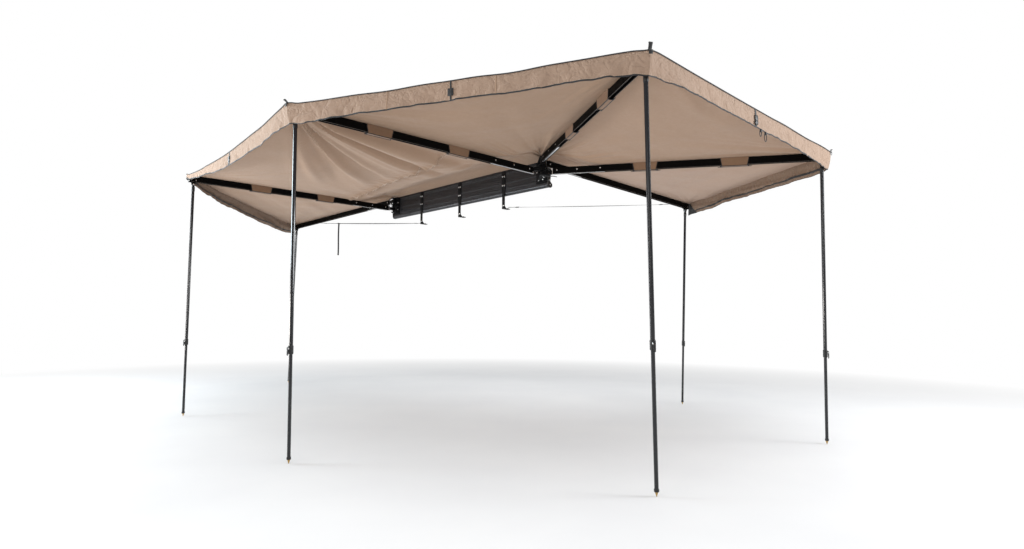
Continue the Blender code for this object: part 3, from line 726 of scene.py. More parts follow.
class FanPanel:
    """Cloth between two arms of one hub; a is the clockwise arm seen from above, b the other."""

    def __init__(self, name, a, b, sag, depths, seed, leans=(-0.022, -0.022), rough=1.0, cloth=None):
        self.name, self.a, self.b, self.sag, self.depths, self.seed = name, a, b, sag, depths, seed
        f = np.linspace(0, 1, ROWS) ** 0.93
        u = np.linspace(0, 1, COLS)
        U, F = np.meshgrid(u, f)
        sa = 0.030 + (a.corner_s - 0.030) * F
        sb = 0.030 + (b.corner_s - 0.030) * F
        pa, pb = a.seam(sa), b.seam(sb)
        base = pa * (1 - U[..., None]) + pb * U[..., None]
        wide = np.linalg.norm(pb - pa, axis=-1)
        # flat over the arms' tops, then a straight run with a little slack
        flat = np.minimum(0.018, wide * 0.3)
        T = np.clip((U * wide - flat) / (wide - 2 * flat), 0.0, 1.0)
        base[..., 2] = pa[..., 2] * (1 - T) + pb[..., 2] * T
        base[..., 2] -= sag * wide * 4 * T * (1 - T) * np.sin(math.pi * np.minimum(0.9, F * 0.8 + 0.1))
        # creases and slack of the roof
        du, db = U * wide, (1 - U) * wide
        free = (1 - np.exp(-((du / 0.035) ** 2))) * (1 - np.exp(-((db / 0.035) ** 2)))
        reach = np.minimum(sa, sb)
        turn = U
        h = 0.0075 * noise2(U * 2.6 + seed, F * 3.1, seed) * np.sin(math.pi * U)
        h += 0.0030 * noise2(U * 9 + seed, F * 7, seed + 3)
        # long ridges that run with the pull between the arms' tips
        along = noise1((F + 0.06 * np.sin(math.pi * U)) * 13 + seed, seed + 60) + 0.5 * noise1(F * 29 + 0.4 * U, seed + 61)
        h += 0.0034 * rough * along * np.sin(math.pi * U) ** 0.7 * smooth(F / 0.3)
        # folds that run out from the hub
        spokes = noise1(turn * 15 + seed * 3.1, seed + 5) + 0.5 * noise1(turn * 33, seed + 6)
        h += 0.0100 * spokes * (1 - smooth((reach - 0.15) / 0.85)) * smooth(reach / 0.10)
        h += 0.0022 * rough * noise1(turn * 11 + 2.7, seed + 8) * F
        # pull from each corner
        for arm, sign, start in ((a, 1.0, 0), (b, -1.0, 20)):
            corner = arm.seam(arm.corner_s)
            r, phi = from_corner(base, corner, -arm.level, -arm.left * sign)
            lobes = noise1(phi * 9.5 + start, seed + 11 + start) + 0.45 * noise1(phi * 21, seed + 12 + start)
            h += 0.0100 * lobes * smooth(r / 0.09) * np.exp(-((r / 0.75) ** 1.5))
        # puckers where the sleeves are sewn on
        for arm, gap, s, start in ((a, du, sa, 0), (b, db, sb, 9)):
            for low, high in SLEEVES:
                inside = smooth((s - low + 0.05) / 0.05) * (1 - smooth((s - high) / 0.05))
                arcs = np.sin((gap + 0.25 * np.abs(s - (low + high) / 2)) / 0.013)
                h += 0.0042 * inside * arcs * np.exp(-gap / 0.07) * (0.6 + 0.4 * noise1(s * 20, seed + start))
            along = np.sin(s / 0.0085 + 2.5 * noise1(s * 6, seed + 30 + start))
            h += 0.0016 * along * np.exp(-gap / 0.040)
        h *= free
        grid = base + Z * h[..., None]
        # valance
        edge, u_edge = grid[-1], u
        chord = unit(edge[-1] - edge[0])
        square = unit(np.cross(chord, Z))
        if square @ (edge[0] - a.pin) < 0:
            square = -square
        near_a, near_b = smooth(1 - u_edge / 0.05), smooth(1 - (1 - u_edge) / 0.05)
        out = unit(
            square * (1 - near_a - near_b)[:, None] + a.level * near_a[:, None] + b.level * near_b[:, None]
        )
        depth = np.interp(u_edge, np.linspace(0, 1, len(depths)), depths)
        depth = depth - 0.013 * np.sin(math.pi * u_edge) ** 0.8
        drops = []
        x = arc_length(edge)
        hold = (1 - np.exp(-((x / 0.05) ** 2))) * (1 - np.exp(-(((x[-1] - x) / 0.05) ** 2)))
        for k in range(1, DROPS + 1):
            t = k / DROPS
            z = t * depth
            at_a, at_b = np.exp(-((x / 0.16) ** 2)), np.exp(-(((x[-1] - x) / 0.16) ** 2))
            q = 0.002 * t + (leans[0] * at_a + leans[1] * at_b) * t**2
            q = q + hold * (
                0.0080 * t * noise1(x / 0.34 + seed, seed + 40)
                + 0.0058 * smooth(t * 1.3) * noise2(x / 0.062 + t * 0.9, t * 1.1, seed + 41)
                + 0.0056 * t**1.3 * creases((x - 0.6 * z) / 0.085, z / 0.075, seed + 42)
                + 0.0026 * smooth(t * 2) * creases((x + z) / 0.040, z / 0.040, seed + 43)
                + 0.0220 * (rough - 1.0) * smooth(t * 1.6) * noise2(x / 0.62 + t * 0.8, t * 3.6 + x / 0.9, seed + 45)
            )
            lift = hold * 0.0022 * t * noise1(x / 0.055, seed + 44)
            drops.append(edge - Z * (z - lift)[:, None] + out * q[:, None])
        self.grid = np.concatenate([grid, np.array(drops)])
        self.edge_row, self.out = ROWS - 1, out
        # on the front and inner panels (rough above 1) the valance's inside takes the darker third layer, painted shade
        layers = [cloth or CANVAS, VALANCE_PAINTED_COOL_LIGHT, VALANCE_INSIDE_PAINTED_SHADE]
        self.obj, self.area, self.normal = shell(
            name + "_cloth", self.grid, layers, edge_row=self.edge_row, inside=2 if rough > 1.0 else 1
        )

    def share(self, points):
        """How far round from arm a to arm b each point lies."""
        points = np.asarray(points, float)
        away = points[:, :2] - self.a.pin[:2]
        r = np.maximum(np.hypot(away[:, 0], away[:, 1]), 0.0485)
        theta = np.arctan2(away[:, 1], away[:, 0])
        low = self.a.heading + np.arcsin(np.clip(self.a.offset / r, -1, 1))
        high = self.b.heading + np.arcsin(np.clip(self.b.offset / r, -1, 1))
        span = (high - low) % (2 * math.pi)
        turned = (theta - low + math.pi / 2) % (2 * math.pi) - math.pi / 2
        return np.clip(turned / span, 0.0, 1.0)

    def bind(self, obj, flip=False):
        """Bakes the piece's transform and works out each vertex's share from arm a to arm b; the shares are not used.
        """
        names = (f"arm_{self.a.k}", f"arm_{self.b.k}")
        if flip:
            names = names[::-1]
        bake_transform(obj)
        co = np.empty(len(obj.data.vertices) * 3, np.float32)
        obj.data.vertices.foreach_get("co", co)
        w = self.share(co.reshape(-1, 3).astype(float))
        if flip:
            w = 1 - w
        return obj


SLEEVES = ((0.72, 0.905), (1.36, 1.555))


class MainPanel:
    """Cloth between arms 2 and 1, from the top of the backing plate to the outer edge."""

    def __init__(self, name, seed=71):
        self.name, self.seed = name, seed
        a, b = ARM[1], ARM[2]  # clockwise arm first, as on the fan panels
        self.a, self.b = a, b
        f = np.linspace(0, 1, ROWS) ** 0.95
        cols = COLS + 22
        u = np.linspace(0, 1, cols)
        U, F = np.meshgrid(u, f)
        inner = FACE + 0.006
        join = 0.085
        ends = []
        for arm, y in ((a, FRONT[1] - 0.028), (b, PLATE_Y0 + 0.004)):
            start = np.array((inner, y, PLATE_TOP + 0.0030))
            s = 0.100 + (arm.corner_s - 0.100) * np.clip((F - join) / (1 - join), 0, 1)
            t = (F / join)[..., None]
            ends.append((start * (1 - t) + arm.seam(0.100) * t) * (F < join)[..., None] + arm.seam(s) * (F >= join)[..., None])
        base = ends[0] * (1 - U[..., None]) + ends[1] * U[..., None]
        wide = np.linalg.norm(ends[1] - ends[0], axis=-1)
        flat = 0.018
        T = np.clip((U * wide - flat) / (wide - 2 * flat), 0.0, 1.0)
        base[..., 2] = ends[0][..., 2] * (1 - T) + ends[1][..., 2] * T
        span = 4 * T * (1 - T)
        base[..., 2] -= 0.062 * span * F
        base[..., 2] += 0.030 * span * np.maximum(0.0, 1 - F * 1.6) ** 2 * smooth(F / 0.10)
        du, db = U * wide, (1 - U) * wide
        free = (1 - np.exp(-((du / 0.035) ** 2))) * (1 - np.exp(-((db / 0.035) ** 2))) * smooth(F / 0.06)
        h = 0.0080 * noise2(U * 3.0 + 1.3, F * 3.4, seed) * np.sin(math.pi * U)
        h += 0.0032 * noise2(U * 11, F * 8, seed + 1)
        # strong folds from the tip of arm 2 towards the front hinge
        corner = b.seam(b.corner_s)
        r, phi = from_corner(base, corner, -b.level, b.left * -1.0)
        lobes = noise1(phi * 8.5 + 0.35 * r + 4, seed + 2) + 0.75 * noise1(phi * 19.0 + 0.5 * r, seed + 3)
        sector = smooth((np.abs(phi) - 0.10) / 0.18) * (1 - smooth((np.abs(phi) - 0.95) / 0.35))
        sharp = np.sign(lobes) * np.abs(lobes) ** 0.75
        h += 0.0390 * sharp * sector * smooth(r / 0.45) * (1 - smooth((r - 1.1) / 1.2))
        h += 0.0080 * lobes * (1 - sector) * smooth(r / 0.09) * np.exp(-((r / 0.6) ** 1.5))
        # and lighter ones from the tip of arm 1 and both roots
        r, phi = from_corner(base, a.seam(a.corner_s), -a.level, a.left)
        lobes = noise1(phi * 10.0 + 3, seed + 4) + 0.5 * noise1(phi * 24.0, seed + 5)
        h += 0.0100 * lobes * smooth(r / 0.08) * np.exp(-((r / 0.65) ** 1.5))
        for arm, sign, start, high in ((a, 1.0, 6, 0.0150), (b, -1.0, 8, 0.0110)):
            r, phi = from_corner(base, arm.seam(0.10), arm.level, arm.left * sign)
            lobes = noise1(phi * 12.0 + start, seed + start) + 0.5 * noise1(phi * 27.0, seed + start + 1)
            h += high * lobes * smooth((r - 0.03) / 0.14) * np.exp(-((r / 0.70) ** 1.6))
        # the sewn seam across the panel, with puckers on both sides
        fa = join + (1 - join) * (0.55 - 0.10) / (a.corner_s - 0.10)
        fb = join + (1 - join) * (0.80 - 0.10) / (b.corner_s - 0.10)
        self.seam_f = lambda v: fa + (fb - fa) * v
        off = (F - self.seam_f(U)) * 2.08
        pucker = np.sin(U * wide / 0.011 + 3.0 * noise1(U * 14, seed + 14)) + 0.7 * noise1(U * wide / 0.045, seed + 15)
        h += 0.0150 * pucker * np.exp(-np.abs(off) / 0.060) * (0.55 + 0.45 * noise1(U * 9, seed + 16))
        h -= 0.0120 * np.exp(-np.abs(off) / 0.028)
        h += 0.0080 * noise2(U * 13, F * 15, seed + 17) * smooth(-off / 0.10) * smooth((F - join) / 0.12)
        for arm, gap, start in ((a, du, 0), (b, db, 9)):
            s = 0.100 + (arm.corner_s - 0.100) * np.clip((F - join) / (1 - join), 0, 1)
            for low, high in SLEEVES:
                inside = smooth((s - low + 0.05) / 0.05) * (1 - smooth((s - high) / 0.05))
                arcs = np.sin((gap + 0.25 * np.abs(s - (low + high) / 2)) / 0.013)
                h += 0.0042 * inside * arcs * np.exp(-gap / 0.07)
            h += 0.0016 * np.sin(s / 0.0085 + 2.5 * noise1(s * 6, seed + 30 + start)) * np.exp(-gap / 0.035)
        h *= free
        grid = base + Z * h[..., None]
        edge = grid[-1]
        x = arc_length(edge)
        near_a, near_b = smooth(1 - u / 0.05), smooth(1 - (1 - u) / 0.05)
        square = np.array((-1.0, 0.0, 0.0))
        out = unit(square * (1 - near_a - near_b)[:, None] + a.level * near_a[:, None] + b.level * near_b[:, None])
        # deep at arm 2, gathered to a narrow hem at arm 1
        depth = np.interp(1 - u, (0.0, 0.35, 0.62, 0.70, 0.90, 1.0), (0.120, 0.108, 0.088, 0.066, 0.046, 0.034))
        hold = (1 - np.exp(-((x / 0.03) ** 2))) * (1 - np.exp(-(((x[-1] - x) / 0.05) ** 2)))
        bunch = np.exp(-((x / 0.30) ** 2))
        drops = []
        for k in range(1, DROPS + 1):
            t = k / DROPS
            z = t * depth
            at_b = np.exp(-(((x[-1] - x) / 0.16) ** 2))
            q = 0.002 * t - 0.022 * at_b * t**2 + hold * (
                0.0080 * t * noise1(x / 0.36, seed + 50)
                + 0.0056 * smooth(t * 1.3) * noise2(x / 0.070 + t * 0.8, t * 1.1, seed + 51)
                + 0.0052 * t**1.3 * creases((x - 0.6 * z) / 0.085, z / 0.075, seed + 52)
                + 0.0024 * smooth(t * 2) * creases((x + z) / 0.040, z / 0.040, seed + 53)
                + 0.0090 * bunch * t * noise2(x / 0.026, t * 2.0, seed + 54)
            )
            lift = hold * 0.0022 * t * noise1(x / 0.055, seed + 55)
            drops.append(edge - Z * (z - lift)[:, None] + out * q[:, None])
        self.grid = np.concatenate([grid, np.array(drops)])
        self.edge_row, self.out = ROWS - 1, out
        self.obj, self.area, self.normal = shell(name + "_cloth", self.grid, [CANVAS, VALANCE_PAINTED_COOL_LIGHT], edge_row=self.edge_row)

    def bind(self, obj):
        """Attaches the piece to the root body and gives it its own mesh."""
        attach(obj, "root")
        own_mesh(obj)
        return obj


PANELS = {
    "front": FanPanel("front_panel", ARM[0], ARM[1], 0.022, (0.110, 0.134, 0.142, 0.138, 0.132, 0.126, 0.116, 0.104, 0.040), 11, (0.0, 0.0), 1.8),
    "outer": FanPanel("rear_outer_panel", ARM[2], ARM[3], 0.012, (0.120, 0.120), 23, cloth=CANVAS_PAINTED_SHADE),
    "rear": FanPanel("rear_panel", ARM[3], ARM[4], 0.012, (0.120, 0.120), 37),
    "inner": FanPanel("rear_inner_panel", ARM[4], ARM[5], 0.012, (0.120, 0.120), 49, (-0.022, -0.006), 1.5, CANVAS_PAINTED_LIGHT),
    "main": MainPanel("main_panel"),
}


def stitches(build, path, normal, lift, length=0.0050, gap=0.0040, width=0.0011, slot=0):
    """A row of thread stitches along a path on a surface."""
    along = arc_length(path)
    n = int(along[-1] // (length + gap))
    if n < 1:
        return
    start = (np.arange(n) + 0.25) * (length + gap)
    pick = lambda where, data: np.stack([np.interp(where, along, data[:, i]) for i in range(3)], axis=1)
    p0, p1 = pick(start, path), pick(start + length, path)
    nn = unit(pick(start + length / 2, normal))
    t = unit(p1 - p0)
    side = np.cross(t, nn) * (width / 2)
    mid = (p0 + p1) / 2
    high = nn * (lift + width * 0.45)
    low = nn * (lift - 0.0004)
    points = np.stack([p0 + low, mid + low + side, p1 + low, mid + low - side, mid + high - t * length * 0.22, mid + high + t * length * 0.22], axis=1)
    pattern = [(0, 4, 1), (1, 4, 5), (1, 5, 2), (2, 5, 3), (3, 5, 4), (3, 4, 0), (0, 1, 2, 3)]
    faces = [tuple(6 * k + i for i in f) for k in range(n) for f in pattern]
    build.add((points.reshape(-1, 3), faces, None), slot=slot)


def trim_of(panel, tape):
    """Piping along the roof's outer edge, dark edging on the valance, hem and stitching."""
    edge, low = panel.grid[panel.edge_row], panel.grid[-1]
    out = panel.out
    build = Build()
    build.add(sweep(edge + out * 0.0022 + Z * 0.0024, ring(0.0034, 8)))
    rows = [(panel.edge_row + 1, 1), (-2, 1), (-2, -1), (panel.edge_row - 1, 1)]
    if tape:
        # a black tape sewn on the inside, with the cloth's own hem below it
        share = np.clip(1 - 0.030 / np.linalg.norm(edge - low, axis=1), 0.3, 0.9) * DROPS
        columns = np.arange(len(share))
        row = panel.edge_row + np.clip(share, 0, DROPS - 1e-6)
        f = (row - np.floor(row))[:, None]
        first = np.floor(row).astype(int)
        pick = lambda data: data[first, columns] * (1 - f) + data[first + 1, columns] * f
        centre, normal = pick(panel.grid), unit(pick(panel.normal))
        inward = normal * np.sign((normal * -out).sum(axis=1))[:, None]
        build.add(sweep(centre + inward * 0.0013, flat_section(0.0014, 0.0165, 0.45)))
        build.add(sweep(low + Z * 0.0010, flat_section(0.0032, 0.0030, 0.45)))
    else:
        build.add(sweep(low + out * 0.0002 + Z * 0.0026, flat_section(0.0034, 0.0092, 0.45)))
    obj = build.object(panel.name + "_binding", PIPING, 50)
    thread = Build()
    for r, sign in rows:
        stitches(thread, panel.grid[r], panel.normal[r] * sign, CLOTH / 2)
    return obj, thread


made = {}
for key, panel in PANELS.items():
    binding, thread = trim_of(panel, key in ("front", "inner"))
    thread_obj = thread.object(panel.name + "_stitching", THREAD, 60)
    made[key] = [binding, thread_obj]


# the seam sewn across the main panel: a flat felled band under the cloth
def across_main(offset, lift):
    panel = PANELS["main"]
    rows = np.arange(ROWS)
    f = np.linspace(0, 1, ROWS) ** 0.95
    cols = panel.grid.shape[1]
    v = np.linspace(0, 1, cols)
    want = panel.seam_f(v) + offset / 2.08
    points, normals = [], []
    for j in range(2, cols - 2):
        pick = lambda data: np.array([np.interp(want[j], f, data[:ROWS, j, i]) for i in range(3)])
        points.append(pick(panel.grid))
        normals.append(pick(panel.normal))
    points, normals = np.array(points), unit(np.array(normals))
    return points + normals * lift, normals


path, normals = across_main(0.0, -0.0016)
fell = Build().add(sweep(path, flat_section(0.022, 0.0030), normals))
seam_band = fell.object("main_panel_seam_cloth", HEM, 50)
seam_thread = Build()
for offset in (-0.0080, 0.0080):
    path, normals = across_main(offset, -0.0033)
    stitches(seam_thread, path, -normals, 0.0, 0.0110, 0.0060, 0.0036)
seam_stitching = seam_thread.object("main_panel_seam_stitching", THREAD, 60)
made["main"] += [seam_band, seam_stitching]


# round reinforcements sewn over the two pins, where the panels' points meet
def pin_patch(name, pin, radius, up):
    rings, sides = 9, 48
    a = np.arange(sides) * 2 * math.pi / sides
    points, faces = [], []
    for side in (1, -1):
        base = len(points)
        points.append(pin + Z * (up + 0.004 + side * 0.0007))
        for r in range(1, rings + 1):
            q = r / rings
            lift = up + 0.004 * (1 - q * q) + 0.0025 * q * np.sin(3 * a + r * 0.3) + side * 0.0007
            ring_r = radius * q * (1 + 0.02 * np.sin(a * 5))
            points += [pin + np.array((math.cos(t) * rr, math.sin(t) * rr, h)) for t, rr, h in zip(a, ring_r, lift)]
        for k in range(sides):
            n = (k + 1) % sides
            tri = (base, base + 1 + k, base + 1 + n)
            faces.append(tri if side > 0 else tri[::-1])
            for r in range(rings - 1):
                o = base + 1 + r * sides
                quad = (o + k, o + sides + k, o + sides + n, o + n)
                faces.append(quad if side > 0 else quad[::-1])
    rim = 1 + (rings - 1) * sides
    other = 1 + rings * sides
    for k in range(sides):
        n = (k + 1) % sides
        faces.append((rim + k, other + rim + k, other + rim + n, rim + n))
    points = np.array(points)
    return Build().add((points, faces, points[:, :2])).object(name, HEM, 50)


patches = [pin_patch("rear_pin_patch_cloth", HUB, 0.150, 0.1520), pin_patch("front_pin_patch_cloth", FRONT, 0.120, 0.1520)]
for patch, pin, joint in zip(patches, (HUB, FRONT), ("fan_fold", "front_fold")):
    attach(patch, "root")
    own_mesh(patch)


# ---------------------------------------------------------------- black tabs and buckles on the canopy
def ribbon(points, across, width, thick=0.0014):
    """A flat strap along the points; across is the direction of its width."""
    points = np.asarray(points, float)
    t = unit(np.gradient(points, axis=0))
    up = unit(np.cross(np.broadcast_to(np.asarray(across, float), points.shape), t))
    return sweep(points, flat_section(width, thick), up)


def curve(points, n=24):
    """Smooth points through the given ones (Catmull-Rom)."""
    p = np.asarray(points, float)
    p = np.vstack([2 * p[0] - p[1], p, 2 * p[-1] - p[-2]])
    out = []
    per = max(2, n // (len(p) - 3))
    for k in range(1, len(p) - 2):
        for t in np.linspace(0, 1, per, endpoint=False):
            a, b, c, d = p[k - 1], p[k], p[k + 1], p[k + 2]
            out.append(0.5 * (2 * b + (c - a) * t + (2 * a - 5 * b + 4 * c - d) * t**2 + (3 * b - a - 3 * c + d) * t**3))
    out.append(p[-2])
    return np.array(out)


# how far each loop leans out, and its size
LOOPS = {0: (-0.3, 0.7), 2: (-1.9, 0.80), 3: (0.05, 1.15), 4: (-0.9, 0.55), 5: (-0.2, 0.6)}


def corner_kit(k):
    """Webbing folded over the corner, with one flared loop standing on it."""
    arm = ARM[k]
    build = Build()
    top = arm.seam(arm.corner_s)
    over = [
        arm.seam(arm.corner_s - 0.110) + Z * 0.0030,
        arm.seam(arm.corner_s - 0.060) + Z * 0.0032,
        arm.seam(arm.corner_s - 0.014) + Z * 0.0036,
        top + arm.level * 0.0046 + Z * 0.0030,
        top + arm.level * 0.0076 - Z * 0.0050,
        top + arm.level * 0.0060 - Z * 0.0200,
    ]
    build.add(ribbon(curve(over, 40), arm.left, 0.022, 0.0014))
    lean, size = LOOPS[k]
    stand = unit(Z - arm.level * lean) * size
    base = top - arm.level * 0.006 + Z * 0.0050
    # out along one side, round the bight and back: wider at the top than at the foot
    for sign, spread in ((-1, 1.0), (1, 1.0)):
        lip = [
            base + arm.level * 0.0012 * sign,
            base + stand * 0.012 + arm.level * 0.0016 * sign + arm.left * 0.002 * spread,
            base + stand * 0.024 + arm.level * 0.0034 * sign + arm.left * 0.004 * spread,
            base + stand * 0.031 + arm.level * 0.0050 * sign + arm.left * 0.006 * spread,
        ]
        build.add(ribbon(curve(lip, 15), arm.left, 0.016 + 0.004 * (sign > 0), 0.0014))
    bight = [
        base + stand * 0.031 + arm.level * 0.0050 + arm.left * 0.006,
        base + stand * 0.0350 + arm.level * 0.0030 + arm.left * 0.006,
        base + stand * 0.0352 - arm.level * 0.0020 + arm.left * 0.006,
        base + stand * 0.031 - arm.level * 0.0050 + arm.left * 0.006,
    ]
    build.add(ribbon(curve(bight, 12), arm.left, 0.020, 0.0014))
    return build.object(f"corner_webbing_{k}", WEBBING, 50)


for k in range(6):
    if k == 1:
        continue
    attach(corner_kit(k), f"arm_{k}")


# ---------------------------------------------------------------- tabs, straps and buckles on the valances
def on_valance(panel, u, t, lift=0.0):
    """A place on a valance: u along it from the first arm, t down it. Also its outward direction."""
    grid, normal = panel.grid, panel.normal
    c, r = u * (grid.shape[1] - 1), panel.edge_row + t * DROPS
    i, k = int(min(c, grid.shape[1] - 2)), int(min(r, panel.edge_row + DROPS - 1))
    f, g = c - i, r - k
    pick = lambda data: (data[k, i] * (1 - f) + data[k, i + 1] * f) * (1 - g) + (data[k + 1, i] * (1 - f) + data[k + 1, i + 1] * f) * g
    n = unit(pick(normal))
    if n @ panel.out[i] < 0:
        n = -n
    return pick(grid) + n * lift, n


def strip_on(panel, u, t0, t1, width, lift=0.0016, steps=14):
    path, ups = zip(*(on_valance(panel, u, t, lift) for t in np.linspace(t0, t1, steps)))
    return sweep(np.array(path), flat_section(width, 0.0014), np.array(ups))


def side_release_buckle(build, panel, u, t):
    point, n = on_valance(panel, u, t, 0.0050)
    m = facing(point, n, Z)
    build.add(block((0.034, 0.027, 0.0078), 0.0022), m)
    for side in (-1, 1):
        arm_of = m.copy()
        arm_of[:3, 3] = point + m[:3, 1] * side * 0.0135 - m[:3, 0] * 0.004
        build.add(block((0.018, 0.0052, 0.0064), 0.0016), arm_of)
    lower = m.copy()
    lower[:3, 3] = point - m[:3, 0] * 0.026
    build.add(block((0.016, 0.031, 0.0060), 0.0018), lower)
    bar = m.copy()
    bar[:3, 3] = point - m[:3, 0] * 0.037
    build.add(block((0.0050, 0.031, 0.0052), 0.0014), bar)


def valance_details():
    outer, rear, main, inner = (PANELS[k] for k in ("outer", "rear", "main", "inner"))
    # a square tab on a webbing line, and a sewn joint, on the outer valance
    tab = Build()
    tab.add(strip_on(outer, 0.5025, 0.02, 0.98, 0.0100))
    point, n = on_valance(outer, 0.5025, 0.56, 0.0046)
    tab.add(block((0.042, 0.034, 0.0050), 0.0016), facing(point, n, Z))
    point, n = on_valance(outer, 0.5025, 0.56, 0.0072)
    tab.add(block((0.030, 0.024, 0.0026), 0.0010), facing(point, n, Z))
    made["outer"].append(tab.object("outer_valance_tab", WEBBING, 50))
    joint = Build().add(strip_on(outer, 0.625, 0.0, 1.0, 0.0085, 0.0010))
    joint.add(strip_on(outer, 0.32, 0.0, 1.0, 0.0085, 0.0010))
    made["outer"].append(joint.object("outer_valance_joint_cloth", HEM, 50))
    # straps with side release buckles
    for key, panel, u, t in (("rear", rear, 0.492, 0.50), ("main", main, 0.525, 0.52)):
        strap, buckle = Build(), Build()
        strap.add(strip_on(panel, u, 0.02, 0.96, 0.0200))
        side_release_buckle(buckle, panel, u, t)
        made[key].append(strap.object(key + "_valance_strap", WEBBING, 50))
        made[key].append(buckle.object(key + "_valance_buckle", PLASTIC, 45))
    # two sewn loops with toggles under the rear valance
    loops, toggles = Build(), Build()
    for u, drop in ((0.520, 0.046), (0.548, 0.060)):
        top, n = on_valance(rear, u, 0.97, 0.0030)
        side = unit(np.cross(n, Z))
        ring_path = [top - side * 0.004, top - side * 0.012 - Z * drop * 0.45, top - side * 0.009 - Z * drop * 0.85,
                     top - Z * drop, top + side * 0.009 - Z * drop * 0.85, top + side * 0.012 - Z * drop * 0.45, top + side * 0.004]
        loops.add(sweep(curve(ring_path, 48), ring(0.0022, 8), n))
        toggles.add(lathe([(0, -0.010), (0.006, -0.009), (0.0075, 0.0), (0.006, 0.009), (0, 0.010)], 14), axes(top - Z * 0.012 + n * 0.002, *np.eye(3)))
    made["rear"].append(loops.object("rear_valance_loops", WEBBING, 60))
    made["rear"].append(toggles.object("rear_valance_toggles", PLASTIC, 45))
    # a three-cornered reinforcement at the end of the inner valance
    rows, cols = 10, 7
    sides = []
    for sign in (1, -1):
        layer = []
        for t in np.linspace(0.02, 1.0, rows):
            reach = 0.012 + 0.062 * t
            layer.append([on_valance(inner, 1.0 - reach * (1 - j / (cols - 1)), t, 0.0020 * sign)[0] for j in range(cols)])
        sides.append(np.array(layer).reshape(-1, 3))
    n = rows * cols
    faces = []
    for r in range(rows - 1):
        for c in range(cols - 1):
            q = (r * cols + c, r * cols + c + 1, (r + 1) * cols + c + 1, (r + 1) * cols + c)
            faces += [q[::-1], tuple(i + n for i in q)]
    rim = [c for c in range(cols)] + [r * cols + cols - 1 for r in range(1, rows)]
    rim += [(rows - 1) * cols + c for c in range(cols - 2, -1, -1)] + [r * cols for r in range(rows - 2, 0, -1)]
    for i, j in zip(rim, rim[1:] + rim[:1]):
        faces.append((i, j, j + n, i + n))
    made["inner"].append(Build().add((np.concatenate(sides), faces, None)).object("inner_valance_corner_patch", WEBBING, 50))


valance_details()


# ---------------------------------------------------------------- seam bands over the arms
def seam_band_of(k):
    arm = ARM[k]
    n = 90
    s = np.linspace(0.034 if arm.layer == HIGH else 0.102, arm.corner_s - 0.004, n)
    path = arm.seam(s) + Z * 0.0022
    width = 0.040
    sec = np.array(
        [(0.5, -0.25), (-0.5, -0.25), (-0.5, 0.05), (-0.34, 0.42), (0, 0.55), (0.34, 0.42), (0.5, 0.05)]
    ) * np.array((width, 0.0030))
    build = Build()
    path = path + Z * (0.0006 * np.sin(s / 0.011))[:, None]
    build.add(sweep(path, sec))
    obj = build.object(f"seam_band_{k}_cloth", HEM, 50)
    thread = Build()
    for side in (-0.016, 0.016):
        row = path + arm.left * side
        stitches(thread, row, np.broadcast_to(Z, row.shape), 0.0012)
    stitch_obj = thread.object(f"seam_band_{k}_stitching", THREAD, 60)
    return obj, stitch_obj


def press(piece, k):
    """Gives the cloth on an arm its own mesh."""
    arm = ARM[k]
    middle = tuple(float(c) for c in arm.point(1.0, 0.0, 0.0).reshape(-1))
    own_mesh(piece)


for k in range(6):
    for piece in seam_band_of(k):
        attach(piece, f"arm_{k}")
        press(piece, k)


